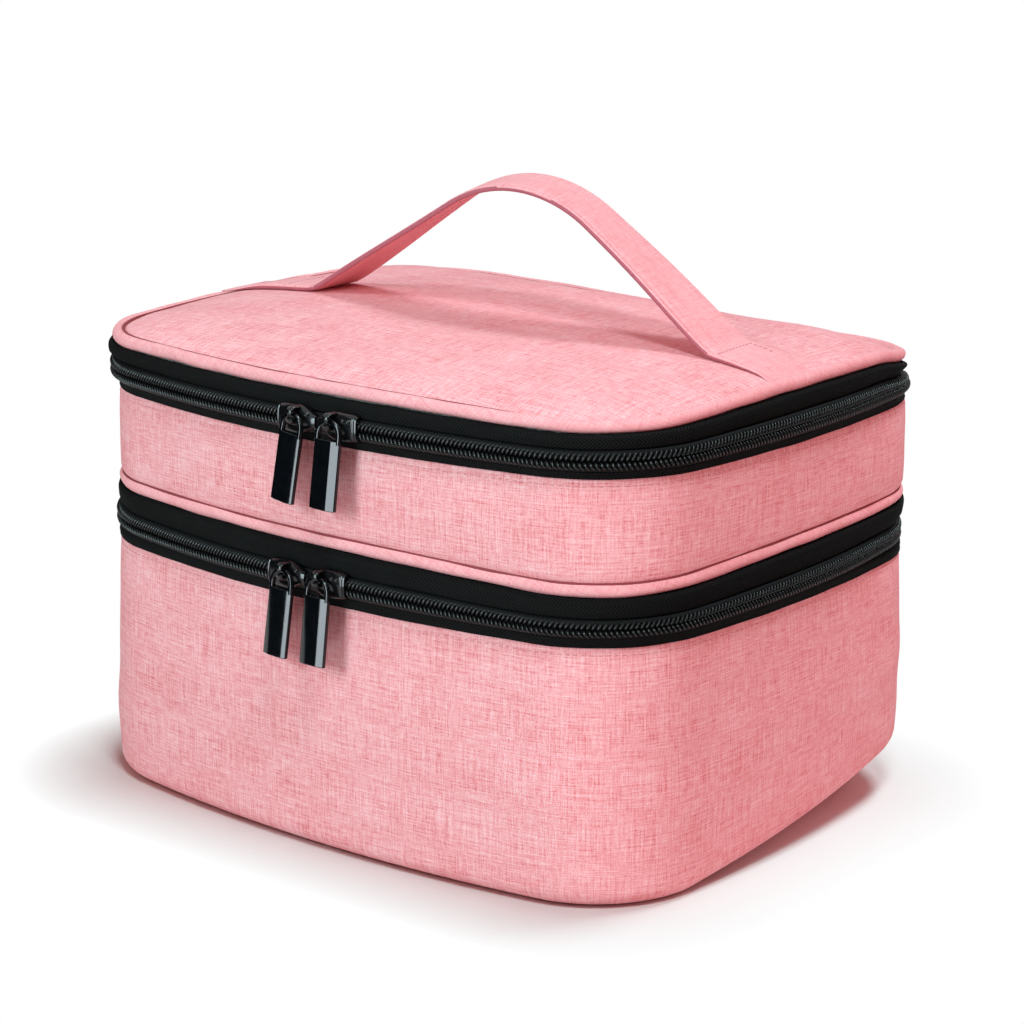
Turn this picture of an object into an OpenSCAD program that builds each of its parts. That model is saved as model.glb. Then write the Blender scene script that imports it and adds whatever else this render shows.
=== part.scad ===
// Soft two-tier storage case: a lower box, a tray that hinges on it and a lid that
// hinges on the tray. Each joint line is closed by a coil zip with two sliders.
// Origin: centre of the footprint, on the floor. +Z up, +X along the strap, front at -Y.

/* [Case] */
// Width across the bowed ends
case_w = 264; // [220:1:300]
// Depth from the bowed front to the back
case_d = 206; // [170:1:240]
// Radius of the upright corners
corner_r = 44; // [34:1:54]
// Radius of the bow of the front
front_bow_r = 550; // [450:10:1500]
// Radius of the bow of each end
end_bow_r = 550; // [450:10:1500]
// Radius of the bow of the back, which is nearly flat
back_bow_r = 3000; // [1500:100:6000]
// Thickness of the padded walls
wall_t = 4; // [3:0.5:6]
// Thickness of the lining
lining_t = 1; // [0.6:0.1:1.6]
// Gap left between layers that lie against each other
layer_gap = 0.1; // [0.05:0.01:0.2]

/* [Heights] */
// Height of the lower box's cloth, up to the lower zip
lower_cloth_h = 91; // [75:1:120]
// Height of the lower zip's black band
lower_band_h = 19.5; // [18.5:0.5:24]
// Height of the tray's cloth with its piping, between the two zips
tray_cloth_h = 37; // [30:1:60]
// Height of the upper zip's black band
upper_band_h = 16.5; // [16:0.5:20]
// Height of the piped rim of the lid
lid_rim_h = 5; // [4.5:0.1:7]
// Radius of the rounded edge round the bottom
bottom_edge_r = 9; // [7:0.5:12]

/* [Layers] */
// Thickness of the padded cloth under the lower box
base_t = 4; // [3:0.5:5]
// Thickness of the stiff board on the bottom of the lower box
base_board_t = 2.5; // [1.5:0.1:3]
// Thickness of the cloth under the tray
tray_cloth_t = 1.2; // [0.8:0.1:1.6]
// Thickness of the tray's stiff board
tray_board_t = 2; // [1.5:0.1:3]
// Thickness of the floor linings and the lid lining
floor_lining_t = 0.8; // [0.5:0.1:1.2]
// Thickness of the lid's padded cover
lid_cover_t = 2.6; // [1.6:0.1:3]
// Thickness of the lid's stiff board
lid_board_t = 2.3; // [1.5:0.1:2.6]
// Thickness of the foam under the lid's board
lid_foam_t = 2.9; // [2:0.1:3.5]
// Height and width of the piping
piping_w = 4.8; // [4:0.1:5.6]
// Radius of the piping's rounded edges
piping_edge_r = 1.8; // [1:0.1:2]
// How far the piping stands out from the walls
piping_out = 0.7; // [0.3:0.1:1.5]
// Thickness of the binding tape
binding_t = 0.8; // [0.5:0.1:1.2]
// Width of the binding behind the zip bands
binding_w = 1.5; // [1:0.1:2]

/* [Zips] */
// Height of the two closed rows of a zip's coil
coil_h = 7.7; // [7:0.1:8.5]
// Height of the gap between the two rows
coil_gap = 1.6; // [1.4:0.1:2]
// How far the coil stands out from the walls
coil_out = 4.8; // [4:0.1:6]
// Thickness of the zip tape
tape_t = 0.8; // [0.6:0.1:1.2]
// Space kept between the walls and the zip tape
tape_off = 0.4; // [0.3:0.05:0.8]
// Height of the lower zip's tape below its coil
lower_tape_h = 4.3; // [3.5:0.1:6]
// Height of the upper zip's tape below its coil
upper_tape_h = 3.4; // [2.4:0.1:4]
// Thickness of the rolled band above each coil
band_t = 2.2; // [1.8:0.1:2.6]
// Share of each back corner that the zips run round
zip_end_share = 0.5; // [0.3:0.05:0.7]

/* [Sliders] */
// Length of a slider
slider_l = 17; // [15:0.5:20]
// Height of a slider's front plate
slider_h = 10.6; // [9.6:0.2:12]
// How far a slider's front plate is set up from the middle of the coil
slider_rise = 1; // [0.4:0.1:1.4]
// Height of a slider's rear plate
slider_rear_h = 6.4; // [5:0.2:7]
// Thickness of a slider's front plate
slider_t = 1.4; // [1:0.1:2]
// Thickness of a slider's rear plate
slider_rear_t = 1.2; // [0.8:0.1:1.4]
// Radius of the slider's corners
slider_corner_r = 2; // [1:0.1:3]
// Length of the web that joins the two plates
slider_web_l = 6; // [4:0.5:8]
// Distance of the bail and the pull from a slider's nose
bail_x = 7.6; // [6.5:0.1:9]
// Width of the bail
bail_w = 2.8; // [2:0.1:3.6]
// Thickness of the bail
bail_t = 1.2; // [0.8:0.1:1.4]
// Height of the bail's middle above the middle of the coil
bail_z = 3.1; // [1.6:0.1:3.1]
// Clearance between a slider and the coil, and between the pull and the bail
running_gap = 0.3; // [0.25:0.05:0.5]
// Where the two upper sliders meet, right of the middle
upper_meet_x = 10; // [-20:1:20]
// Where the two lower sliders meet, right of the middle
lower_meet_x = 4; // [-20:1:20]
// Gap between the noses of two sliders
nose_gap = 0.8; // [0.4:0.1:2]

/* [Pulls] */
// Length of a pull
pull_l = 31; // [26:1:40]
// Width of a pull
pull_w = 11; // [10:0.5:12.4]
// Thickness of the pull's flat bar
pull_t = 2.8; // [2.2:0.1:3.2]
// Thickness of the loop at the top of a pull
loop_t = 1.9; // [1.5:0.1:2.2]
// Width of the loop's sides
loop_side = 1.8; // [1.4:0.1:2.2]
// Height of the hole in the loop, from the middle of its cross bar
loop_hole_h = 6.2; // [5.5:0.1:7.5]
// Width of the flat middle of a pull's face
pull_flat_w = 4.4; // [3:0.1:6]
// Outward lean of a hanging pull
pull_lean = 7; // [0:1:15]

/* [Handle] */
// Width of the strap
strap_w = 25; // [20:1:35]
// Thickness of the strap
strap_t = 2.4; // [1.6:0.1:3]
// Height of the strap's middle layer above the lid at its top
strap_rise = 54.5; // [40:0.5:70]
// Where the top of the strap is, right of the middle
strap_top_x = 13; // [-14:1:14]
// Length of the strap's left foot, flat on the lid
strap_left_foot = 32; // [20:1:38]
// Length of the strap's right foot, flat on the lid
strap_right_foot = 13; // [12:1:38]
// Radius of the strap's bend at its top
strap_top_r = 57; // [40:1:66]
// Radius of the strap's bend at each foot
strap_foot_r = 18; // [12:1:22]

/* [Dividers] */
// Thickness of the padded dividers
divider_t = 5; // [3:0.5:7]
// Height of the dividers
divider_h = 80; // [50:1:84]
// Distance between the two rows of cross dividers
divider_pitch = 84; // [60:1:100]
// Clearance at the ends and the foot of each divider
divider_gap = 0.4; // [0.2:0.1:1]

/* [Hinges] */
// Thickness of the hinge cloth
hinge_t = 1.4; // [1:0.1:2]
// Gap between the two halves of a hinge cloth at its fold
hinge_gap = 0.8; // [0.6:0.1:1.2]

/* [Hidden] */
$fn = 48;

// The names of the pieces, body by body

PINK = [0.93, 0.62, 0.65];
LINING = [0.30, 0.30, 0.32];
BLACK = [0.08, 0.08, 0.09];
COIL = [0.14, 0.14, 0.15];
BOARD = [0.72, 0.66, 0.55];
FOAM = [0.85, 0.85, 0.82];

// ---- outline: four bowed sides and four corners that run smoothly into each other
half_w = case_w / 2;
half_d = case_d / 2;
front_c = [0, front_bow_r - half_d];
back_c = [0, half_d - back_bow_r];
right_c = [half_w - end_bow_r, 0];
left_c = -right_c;

// The point at ra from a and rb from b, on the right of the way from a to b
function meeting(a, ra, b, rb) =
    let (way = b - a, l = norm(way), u = way / l, t = (ra * ra - rb * rb + l * l) / (2 * l))
    a + u * t + [u.y, -u.x] * sqrt(ra * ra - t * t);

front_right_c = meeting(right_c, end_bow_r - corner_r, front_c, front_bow_r - corner_r);
back_right_c = meeting(back_c, back_bow_r - corner_r, right_c, end_bow_r - corner_r);
front_left_c = [-front_right_c.x, front_right_c.y];
back_left_c = [-back_right_c.x, back_right_c.y];

function heading(from, to) = atan2(to.y - from.y, to.x - from.x);

front_a = heading(front_c, front_right_c);
right_front_a = heading(right_c, front_right_c);
right_back_a = heading(right_c, back_right_c);
back_a = heading(back_c, back_right_c);

// Flat steps that each arc is drawn in
front_steps = 12;
end_steps = 6;
back_steps = 4;
corner_steps = 8;

// Each arc: centre, radius, first angle, last angle and steps, counterclockwise from above
FRONT = [front_c, front_bow_r, -180 - front_a, front_a, front_steps];
FRONT_RIGHT = [front_right_c, corner_r, front_a, right_front_a, corner_steps];
RIGHT = [right_c, end_bow_r, right_front_a, right_back_a, end_steps];
BACK_RIGHT = [back_right_c, corner_r, right_back_a, back_a, corner_steps];
BACK = [back_c, back_bow_r, back_a, 180 - back_a, back_steps];
BACK_LEFT = [back_left_c, corner_r, 180 - back_a, 180 - right_back_a, corner_steps];
LEFT = [left_c, end_bow_r, 180 - right_back_a, 180 - right_front_a, end_steps];
FRONT_LEFT = [front_left_c, corner_r, 180 - right_front_a, 180 - front_a, corner_steps];

function trimmed(arc, from, to) =
    let (span = arc[3] - arc[2])
    [arc[0], arc[1], arc[2] + span * from, arc[2] + span * to, arc[4]];

ALL_ROUND = [FRONT, FRONT_RIGHT, RIGHT, BACK_RIGHT, BACK, BACK_LEFT, LEFT, FRONT_LEFT];
ZIP_RUN = [
    trimmed(BACK_LEFT, 1 - zip_end_share, 1), LEFT, FRONT_LEFT, FRONT, FRONT_RIGHT, RIGHT,
    trimmed(BACK_RIGHT, 0, zip_end_share)
];
// The hinge cloth stops a little short of the zips' ends.
end_gap_share = 0.01;
hinge_start = zip_end_share + end_gap_share;
HINGE_RUN = [trimmed(BACK_RIGHT, hinge_start, 1), BACK, trimmed(BACK_LEFT, 0, 1 - hinge_start)];

// The places along a run where a section stands, as [centre, radius, angle]
function places(arcs) = [
    for (arc = arcs, i = [0 : arc[4] - 1])
        [arc[0], arc[1], arc[2] + (arc[3] - arc[2]) * i / arc[4]]
];
function last_place(arcs) =
    let (arc = arcs[len(arcs) - 1])
    [arc[0], arc[1], arc[3]];
function spot(place, out) = place[0] + (place[1] + out) * [cos(place[2]), sin(place[2])];

// ---- heights
lower_band_z = lower_cloth_h;
tray_z = lower_band_z + lower_band_h;
upper_band_z = tray_z + tray_cloth_h;
lid_z = upper_band_z + upper_band_h;
lid_top_z = lid_z + lid_rim_h;
lower_zip_z = lower_band_z + lower_tape_h + coil_h / 2;
upper_zip_z = upper_band_z + upper_tape_h + coil_h / 2;

// The walls stop under the sliders' rear plates, and their bindings lie on top of them.
rear_room = 0.45;
wall_below_zip = slider_rear_h / 2 + rear_room + binding_t + layer_gap;
lower_wall_top = lower_zip_z - wall_below_zip;
tray_wall_top = upper_zip_z - wall_below_zip;
binding_above_zip = slider_rear_h / 2 + rear_room;

lining_in = -wall_t - layer_gap;
lining_back = lining_in - lining_t;
piping_in = piping_out - piping_w;
panel_in = piping_in - 2 * layer_gap;

floor_z = base_t + base_board_t + floor_lining_t + 2 * layer_gap;
// How far the board reaches outward past the middle of the round bottom edge
board_reach = 0.7;
board_in = -bottom_edge_r + board_reach;

tray_board_z = tray_z + tray_cloth_t + layer_gap;
tray_lining_z = tray_board_z + tray_board_t + layer_gap;
lid_board_z = lid_top_z - lid_cover_t - layer_gap - lid_board_t;
lid_foam_z = lid_board_z - layer_gap - lid_foam_t;
lid_lining_z = lid_foam_z - layer_gap - floor_lining_t;
lid_inner_in = -binding_w - 2 * layer_gap;

// ---- building helpers
// Flat steps in a quarter turn of a rounded edge
edge_steps = 3;

// Sections are drawn as [outward, up] points, counterclockwise.
function block(out0, out1, z0, z1) = [[out0, z0], [out1, z0], [out1, z1], [out0, z1]];

function bend(centre, r, from, to, steps) = [
    for (i = [0 : steps])
        let (a = from + (to - from) * i / steps)
        centre + r * [cos(a), sin(a)]
];

function rounded_block(out0, out1, z0, z1, r) = concat(
    bend([out0 + r, z0 + r], r, 180, 270, edge_steps),
    bend([out1 - r, z0 + r], r, 270, 360, edge_steps),
    bend([out1 - r, z1 - r], r, 0, 90, edge_steps),
    bend([out0 + r, z1 - r], r, 90, 180, edge_steps)
);

// Carries a section along a run of arcs, closed on itself or with two flat ends
module carried(arcs, section, closed = false) {
    stops = closed ? places(arcs) : concat(places(arcs), [last_place(arcs)]);
    n = len(section);
    m = len(stops);
    sides = [
        for (i = [0 : closed ? m - 1 : m - 2], j = [0 : n - 1])
            let (next = (i + 1) % m, up = (j + 1) % n)
            [i * n + j, i * n + up, next * n + up, next * n + j]
    ];
    ends = closed ? [] : [[for (j = [n - 1 : -1 : 0]) j], [for (j = [0 : n - 1]) (m - 1) * n + j]];
    polyhedron(
        [for (stop = stops, p = section) let (q = spot(stop, p[0])) [q.x, q.y, p[1]]],
        concat(sides, ends)
    );
}

// A flat layer whose edge runs along the outline, moved outward by out
module panel(out, z0, t) {
    translate([0, 0, z0])
        linear_extrude(t)
            polygon([for (place = places(ALL_ROUND)) spot(place, out)]);
}

// An upright band all round the case, from one outward distance and height to another
module ring(out0, out1, z0, z1) {
    translate([0, 0, z0])
        linear_extrude(z1 - z0)
            difference() {
                polygon([for (place = places(ALL_ROUND)) spot(place, out1)]);
                polygon([for (place = places(ALL_ROUND)) spot(place, out0)]);
            }
}

// The cord-filled piping round a rim
module piping(z0) {
    section = rounded_block(piping_in, piping_out, z0, z0 + piping_w, piping_edge_r);
    carried(ALL_ROUND, section, true);
}

// Distance from the middle of the case to the inside of the lining
function front_inside(x) = sqrt(pow(front_bow_r + lining_back, 2) - x * x) - front_c.y;
function back_inside(x) = sqrt(pow(back_bow_r + lining_back, 2) - x * x) + back_c.y;

// Places a slider's own frame on the front: x along the zip, -Y outward from the wall
module on_front(x, z) {
    translate([front_c.x, front_c.y, z])
        rotate([0, 0, x / front_bow_r * 180 / PI])
            translate([0, -front_bow_r, 0])
                children();
}

// ---- zip parts
module lower_tape(band_z, zip_z) {
    row_low = zip_z - coil_h / 2;
    tape_top = zip_z - coil_gap / 2;
    slope_out = coil_out / 2;
    tape_out = tape_off + tape_t;
    color(BLACK)
        carried(ZIP_RUN, [
            [layer_gap, band_z], [layer_gap + tape_t, band_z], [slope_out, row_low - layer_gap],
            [tape_out, row_low - layer_gap], [tape_out, tape_top], [tape_off, tape_top],
            [tape_off, row_low - layer_gap], [layer_gap, row_low - layer_gap - tape_off]
        ]);
}

module upper_tape(zip_z, band_top) {
    band_low = zip_z + coil_h / 2 + layer_gap;
    tape_low = zip_z + coil_gap / 2;
    tape_out = tape_off + tape_t;
    band_r = band_t - tape_t;
    band_out = tape_off + band_t;
    color(BLACK)
        carried(ZIP_RUN, concat(
            [[tape_off, tape_low], [tape_out, tape_low]],
            bend([band_out - band_r, band_low + band_r], band_r, 270, 360, edge_steps),
            bend([band_out - band_r, band_top - layer_gap - band_r], band_r, 0, 90, edge_steps),
            [[tape_off, band_top - layer_gap]]
        ));
}

// One row of a coil: side is 1 above the zip's middle and -1 below it
module coil_row(zip_z, side) {
    row_r = (coil_h - coil_gap) / 4;
    row_z = zip_z + side * (coil_gap / 2 + row_r);
    row_in = tape_off + tape_t + layer_gap;
    color(COIL)
        carried(ZIP_RUN, concat(
            [[row_in, row_z - row_r]],
            bend([coil_out - row_r, row_z], row_r, -90, 90, 2 * edge_steps),
            [[row_in, row_z + row_r]]
        ));
}

module hinge_cloth(z0, z1) {
    color(BLACK)
        carried(HINGE_RUN, block(layer_gap, layer_gap + hinge_t, z0, z1));
}

// ---- sliders and pulls, in the slider's frame
plate_in = coil_out + running_gap;
plate_out = plate_in + slider_t;
// The loop's cross bar turns inside the bail, so both keep clear of its corners.
cross_r = loop_t / 2 * sqrt(2);
pivot_out = plate_out + cross_r + running_gap;
bail_in = pivot_out + cross_r + running_gap;
bail_leg = cross_r + 2 * running_gap;

// Outline of a slider's plate with round corners, from x0 on
module plate_outline(x0, h) {
    r = slider_corner_r;
    translate([x0 + r, -h / 2])
        square([slider_l - 2 * r, h]);
    translate([x0, r - h / 2])
        square([slider_l, h - 2 * r]);
    for (x = [x0 + r, x0 + slider_l - r], z = [r - h / 2, h / 2 - r])
        translate([x, z])
            circle(r);
}

// dir is 1 for a slider whose tail points to the right and -1 for one to the left
module slider(dir) {
    tail = slider_l - bail_x;
    x0 = dir > 0 ? -bail_x : -tail;
    web_x0 = dir > 0 ? x0 : x0 + slider_l - slider_web_l;
    color(BLACK)
        union() {
            translate([0, -plate_in, slider_rise])
                rotate([90, 0, 0])
                    linear_extrude(slider_t)
                        plate_outline(x0, slider_h);
            translate([web_x0, -plate_in - slider_t / 2, -coil_gap / 2 + running_gap])
                cube([slider_web_l, plate_in + slider_t / 2 - tape_off + 2 * running_gap, coil_gap - 2 * running_gap]);
            translate([0, slider_rear_t + running_gap - tape_off, 0])
                rotate([90, 0, 0])
                    linear_extrude(slider_rear_t)
                        plate_outline(x0, slider_rear_h);
            bail();
        }
}

module bail() {
    leg_l = bail_in + bail_t - plate_out + slider_t / 2;
    leg_y = -bail_in - bail_t;
    for (z = [bail_z + bail_leg, bail_z - bail_leg - bail_t])
        translate([-bail_w / 2, leg_y, z])
            cube([bail_w, leg_l, bail_t]);
    translate([-bail_w / 2, leg_y, bail_z - bail_leg])
        cube([bail_w, bail_t, 2 * bail_leg]);
}

module pull() {
    outer_r = pull_w / 2;
    hole_r = outer_r - loop_side;
    arch_z = loop_t / 2 - outer_r;
    bar_top = -loop_hole_h;
    bar_l = pull_l - loop_t / 2 - loop_hole_h;
    color(BLACK)
        translate([0, -pivot_out, bail_z])
            rotate([-pull_lean, 0, 0])
                union() {
                    translate([0, loop_t / 2, 0])
                        rotate([90, 0, 0])
                            linear_extrude(loop_t)
                                difference() {
                                    union() {
                                        translate([0, arch_z])
                                            circle(outer_r);
                                        translate([-outer_r, bar_top])
                                            square([pull_w, arch_z - bar_top]);
                                    }
                                    translate([0, arch_z])
                                        circle(hole_r);
                                    translate([-hole_r, bar_top])
                                        square([2 * hole_r, arch_z - bar_top]);
                                }
                    translate([0, 0, bar_top - bar_l])
                        linear_extrude(bar_l)
                            polygon([
                                [-outer_r, loop_t / 2], [outer_r, loop_t / 2], [outer_r, -loop_t / 4],
                                [pull_flat_w / 2, -pull_t / 2], [-pull_flat_w / 2, -pull_t / 2], [-outer_r, -loop_t / 4]
                            ]);
                }
}

module slider_at(meet_x, zip_z, dir) {
    on_front(meet_x + dir * (nose_gap / 2 + bail_x), zip_z)
        slider(dir);
}

module pull_at(meet_x, zip_z, dir) {
    on_front(meet_x + dir * (nose_gap / 2 + bail_x), zip_z)
        pull();
}

// ---- lower box
module lower_wall() {
    edge_c = [-bottom_edge_r, bottom_edge_r];
    steps = 2 * edge_steps;
    color(PINK)
        carried(ALL_ROUND, concat(
            bend(edge_c, bottom_edge_r, 270, 360, steps),
            [[0, lower_wall_top], [-wall_t, lower_wall_top]],
            bend(edge_c, bottom_edge_r - wall_t, 360, 270, steps)
        ), true);
}

module lower_base() {
    color(PINK)
        panel(-bottom_edge_r - layer_gap, 0, base_t);
}

module base_board() {
    color(BOARD)
        panel(board_in, base_t + layer_gap, base_board_t);
}

module lower_lining() {
    color(LINING)
        ring(lining_back, lining_in, bottom_edge_r, lower_wall_top);
}

module lower_floor_lining() {
    color(LINING)
        panel(lining_back - layer_gap, floor_z - floor_lining_t, floor_lining_t);
}

module lower_rim_binding() {
    color(BLACK)
        ring(lining_back, 0, lower_wall_top + layer_gap, lower_wall_top + layer_gap + binding_t);
}

module lower_zip_lower_tape() {
    lower_tape(lower_band_z, lower_zip_z);
}

module lower_zip_lower_coil() {
    coil_row(lower_zip_z, -1);
}

module lower_hinge_cloth_bottom() {
    hinge_cloth(lower_band_z, lower_zip_z - hinge_gap / 2);
}

module divider_long() {
    half_l = sqrt(pow(end_bow_r + lining_back, 2) - pow(divider_t / 2, 2)) + right_c.x - divider_gap;
    color(LINING)
        translate([-half_l, -divider_t / 2, floor_z + divider_gap])
            cube([2 * half_l, divider_t, divider_h]);
}

// A cross divider between the long divider and the front (side -1) or the back (side 1)
module cross_divider(x, side) {
    far_x = abs(x) + divider_t / 2;
    inside = side < 0 ? front_inside(far_x) : back_inside(far_x);
    near = divider_t / 2 + divider_gap;
    far = inside - divider_gap;
    color(LINING)
        translate([x - divider_t / 2, side < 0 ? -far : near, floor_z + divider_gap])
            cube([divider_t, far - near, divider_h]);
}

module divider_front_left() {
    cross_divider(-divider_pitch / 2, -1);
}

module divider_front_right() {
    cross_divider(divider_pitch / 2, -1);
}

module divider_back_left() {
    cross_divider(-divider_pitch / 2, 1);
}

module divider_back_right() {
    cross_divider(divider_pitch / 2, 1);
}

// ---- tray
module tray_wall() {
    color(PINK)
        ring(-wall_t, 0, tray_z + piping_w + layer_gap, tray_wall_top);
}

module tray_floor() {
    color(PINK)
        panel(panel_in, tray_z, tray_cloth_t);
}

module tray_board() {
    color(BOARD)
        panel(panel_in, tray_board_z, tray_board_t);
}

module tray_lining() {
    color(LINING)
        ring(lining_back, lining_in, tray_z + piping_w + layer_gap, tray_wall_top);
}

module tray_floor_lining() {
    color(LINING)
        panel(panel_in, tray_lining_z, floor_lining_t);
}

module tray_piping() {
    color(PINK)
        piping(tray_z);
}

module tray_floor_binding() {
    color(BLACK)
        ring(-binding_w, 0, lower_zip_z + binding_above_zip, tray_z - layer_gap);
}

module tray_rim_binding() {
    color(BLACK)
        ring(lining_back, 0, tray_wall_top + layer_gap, tray_wall_top + layer_gap + binding_t);
}

module lower_zip_upper_tape() {
    upper_tape(lower_zip_z, tray_z);
}

module lower_zip_upper_coil() {
    coil_row(lower_zip_z, 1);
}

module upper_zip_lower_tape() {
    lower_tape(upper_band_z, upper_zip_z);
}

module upper_zip_lower_coil() {
    coil_row(upper_zip_z, -1);
}

module lower_hinge_cloth_top() {
    hinge_cloth(lower_zip_z + hinge_gap / 2, tray_z - layer_gap);
}

module upper_hinge_cloth_bottom() {
    hinge_cloth(upper_band_z, upper_zip_z - hinge_gap / 2);
}

// ---- lid
module lid_cover() {
    color(PINK)
        panel(panel_in, lid_top_z - lid_cover_t, lid_cover_t);
}

module lid_board() {
    color(BOARD)
        panel(panel_in, lid_board_z, lid_board_t);
}

module lid_foam() {
    color(FOAM)
        panel(min(lid_inner_in, panel_in), lid_foam_z, lid_foam_t);
}

module lid_lining() {
    color(LINING)
        panel(lid_inner_in, lid_lining_z, floor_lining_t);
}

module lid_piping() {
    color(PINK)
        piping(lid_z);
}

module lid_binding() {
    color(BLACK)
        ring(-binding_w, 0, upper_zip_z + binding_above_zip, lid_z - layer_gap);
}

module upper_zip_upper_tape() {
    upper_tape(upper_zip_z, lid_z);
}

module upper_zip_upper_coil() {
    coil_row(upper_zip_z, 1);
}

module upper_hinge_cloth_top() {
    hinge_cloth(upper_zip_z + hinge_gap / 2, lid_z - layer_gap);
}

// ---- strap: flat on the lid, a bend at the foot, a straight rise and the bend at the top
strap_z = lid_top_z + layer_gap + strap_t / 2;
strap_end_x = half_w + panel_in - layer_gap;
bend_steps = 10;

// Slope of the straight rise that joins a foot bend to the top bend over a half span
function rise_angle(span) =
    let (r = strap_top_r + strap_foot_r, over = strap_rise - r)
    atan2(over, span) + asin(r / norm([span, over]));

// Middle line of one half, as [distance from the top, height, slope], from the top to the end
function strap_half(span, end) =
    let (slope = rise_angle(span), turns = [for (i = [0 : bend_steps]) slope * i / bend_steps])
    concat(
        [for (a = turns) [strap_top_r * sin(a), strap_rise - strap_top_r * (1 - cos(a)), a]],
        [for (i = [bend_steps : -1 : 0])
            let (a = turns[i])
            [span - strap_foot_r * sin(a), strap_foot_r * (1 - cos(a)), a]],
        [[end, 0, 0]]
    );

// One face of the strap: the middle line moved by half the thickness across its slope
function strap_face(line, side) = [
    for (p = line) [p[0] + side * sin(p[2]) * strap_t / 2, p[1] + side * cos(p[2]) * strap_t / 2]
];

module handle_strap() {
    right_end = strap_end_x - strap_top_x;
    left_end = strap_end_x + strap_top_x;
    right = strap_half(right_end - strap_right_foot, right_end);
    left = strap_half(left_end - strap_left_foot, left_end);
    line = concat([for (i = [len(left) - 1 : -1 : 1]) [-left[i][0], left[i][1], -left[i][2]]], right);
    upper = strap_face(line, 1);
    lower = strap_face(line, -1);
    color(PINK)
        translate([strap_top_x, strap_w / 2, strap_z])
            rotate([90, 0, 0])
                linear_extrude(strap_w)
                    polygon(concat(upper, [for (i = [len(lower) - 1 : -1 : 0]) lower[i]]));
}

// ---- sliders and pulls in place
module slider_upper_left() {
    slider_at(upper_meet_x, upper_zip_z, -1);
}

module slider_upper_right() {
    slider_at(upper_meet_x, upper_zip_z, 1);
}

module slider_lower_left() {
    slider_at(lower_meet_x, lower_zip_z, -1);
}

module slider_lower_right() {
    slider_at(lower_meet_x, lower_zip_z, 1);
}

module pull_upper_left() {
    pull_at(upper_meet_x, upper_zip_z, -1);
}

module pull_upper_right() {
    pull_at(upper_meet_x, upper_zip_z, 1);
}

module pull_lower_left() {
    pull_at(lower_meet_x, lower_zip_z, -1);
}

module pull_lower_right() {
    pull_at(lower_meet_x, lower_zip_z, 1);
}

lower_wall();
lower_base();
base_board();
lower_lining();
lower_floor_lining();
lower_rim_binding();
lower_zip_lower_tape();
lower_zip_lower_coil();
lower_hinge_cloth_bottom();
divider_long();
divider_front_left();
divider_front_right();
divider_back_left();
divider_back_right();
tray_wall();
tray_floor();
tray_board();
tray_lining();
tray_floor_lining();
tray_piping();
tray_floor_binding();
tray_rim_binding();
lower_zip_upper_tape();
lower_zip_upper_coil();
upper_zip_lower_tape();
upper_zip_lower_coil();
lower_hinge_cloth_top();
upper_hinge_cloth_bottom();
lid_cover();
lid_board();
lid_foam();
lid_lining();
lid_piping();
lid_binding();
upper_zip_upper_tape();
upper_zip_upper_coil();
upper_hinge_cloth_top();
handle_strap();
slider_upper_left();
slider_upper_right();
slider_lower_left();
slider_lower_right();
pull_upper_left();
pull_upper_right();
pull_lower_left();
pull_lower_right();
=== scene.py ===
"""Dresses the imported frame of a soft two-tier storage case in its cloth, zips, linings, dividers and strap."""

import math

import bmesh
import bpy
import numpy as np
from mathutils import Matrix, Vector


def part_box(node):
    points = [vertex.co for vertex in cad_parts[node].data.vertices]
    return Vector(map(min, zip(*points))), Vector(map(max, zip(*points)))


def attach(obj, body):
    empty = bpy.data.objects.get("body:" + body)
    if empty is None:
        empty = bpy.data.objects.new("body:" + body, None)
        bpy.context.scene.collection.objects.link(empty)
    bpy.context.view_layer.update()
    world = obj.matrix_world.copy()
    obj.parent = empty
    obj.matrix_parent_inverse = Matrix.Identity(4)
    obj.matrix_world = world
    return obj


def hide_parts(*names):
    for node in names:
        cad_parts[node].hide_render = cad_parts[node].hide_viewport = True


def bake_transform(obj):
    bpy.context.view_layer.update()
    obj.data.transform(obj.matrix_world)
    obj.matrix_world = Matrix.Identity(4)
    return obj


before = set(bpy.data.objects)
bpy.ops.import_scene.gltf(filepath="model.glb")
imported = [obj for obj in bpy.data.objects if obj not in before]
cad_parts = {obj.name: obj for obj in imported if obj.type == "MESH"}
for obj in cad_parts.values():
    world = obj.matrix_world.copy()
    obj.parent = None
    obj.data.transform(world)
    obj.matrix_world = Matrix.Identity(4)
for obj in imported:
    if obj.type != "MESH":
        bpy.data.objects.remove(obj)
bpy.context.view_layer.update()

MM = 0.001
TURN = 2 * math.pi

# ---- sizes of the case in millimetres, as in the part's source
CASE_W, CASE_D, CORNER_R = 264.0, 206.0, 44.0
FRONT_BOW_R, END_BOW_R, BACK_BOW_R = 550.0, 550.0, 3000.0
WALL_T, LINING_T, LAYER_GAP = 4.0, 1.0, 0.1
LOWER_BAND_Z, TRAY_Z, UPPER_BAND_Z, LID_Z, LID_TOP_Z = 91.0, 110.5, 147.5, 164.0, 169.0
LOWER_ZIP_Z, UPPER_ZIP_Z = 99.15, 154.75
LOWER_WALL_TOP, TRAY_WALL_TOP = 94.6, 150.2
BOTTOM_EDGE_R = 9.0
PIPING_W, PIPING_OUT = 4.8, 0.7
LINING_IN = -WALL_T - LAYER_GAP
LINING_BACK = LINING_IN - LINING_T
PANEL_IN = -4.3
FLOOR_Z = 7.5
COIL_H, COIL_PITCH = 7.7, 1.64
TAPE_T, TAPE_OFF = 0.8, 0.4
BAND_OUT = 2.6
ZIP_END_SHARE = 0.5

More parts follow.
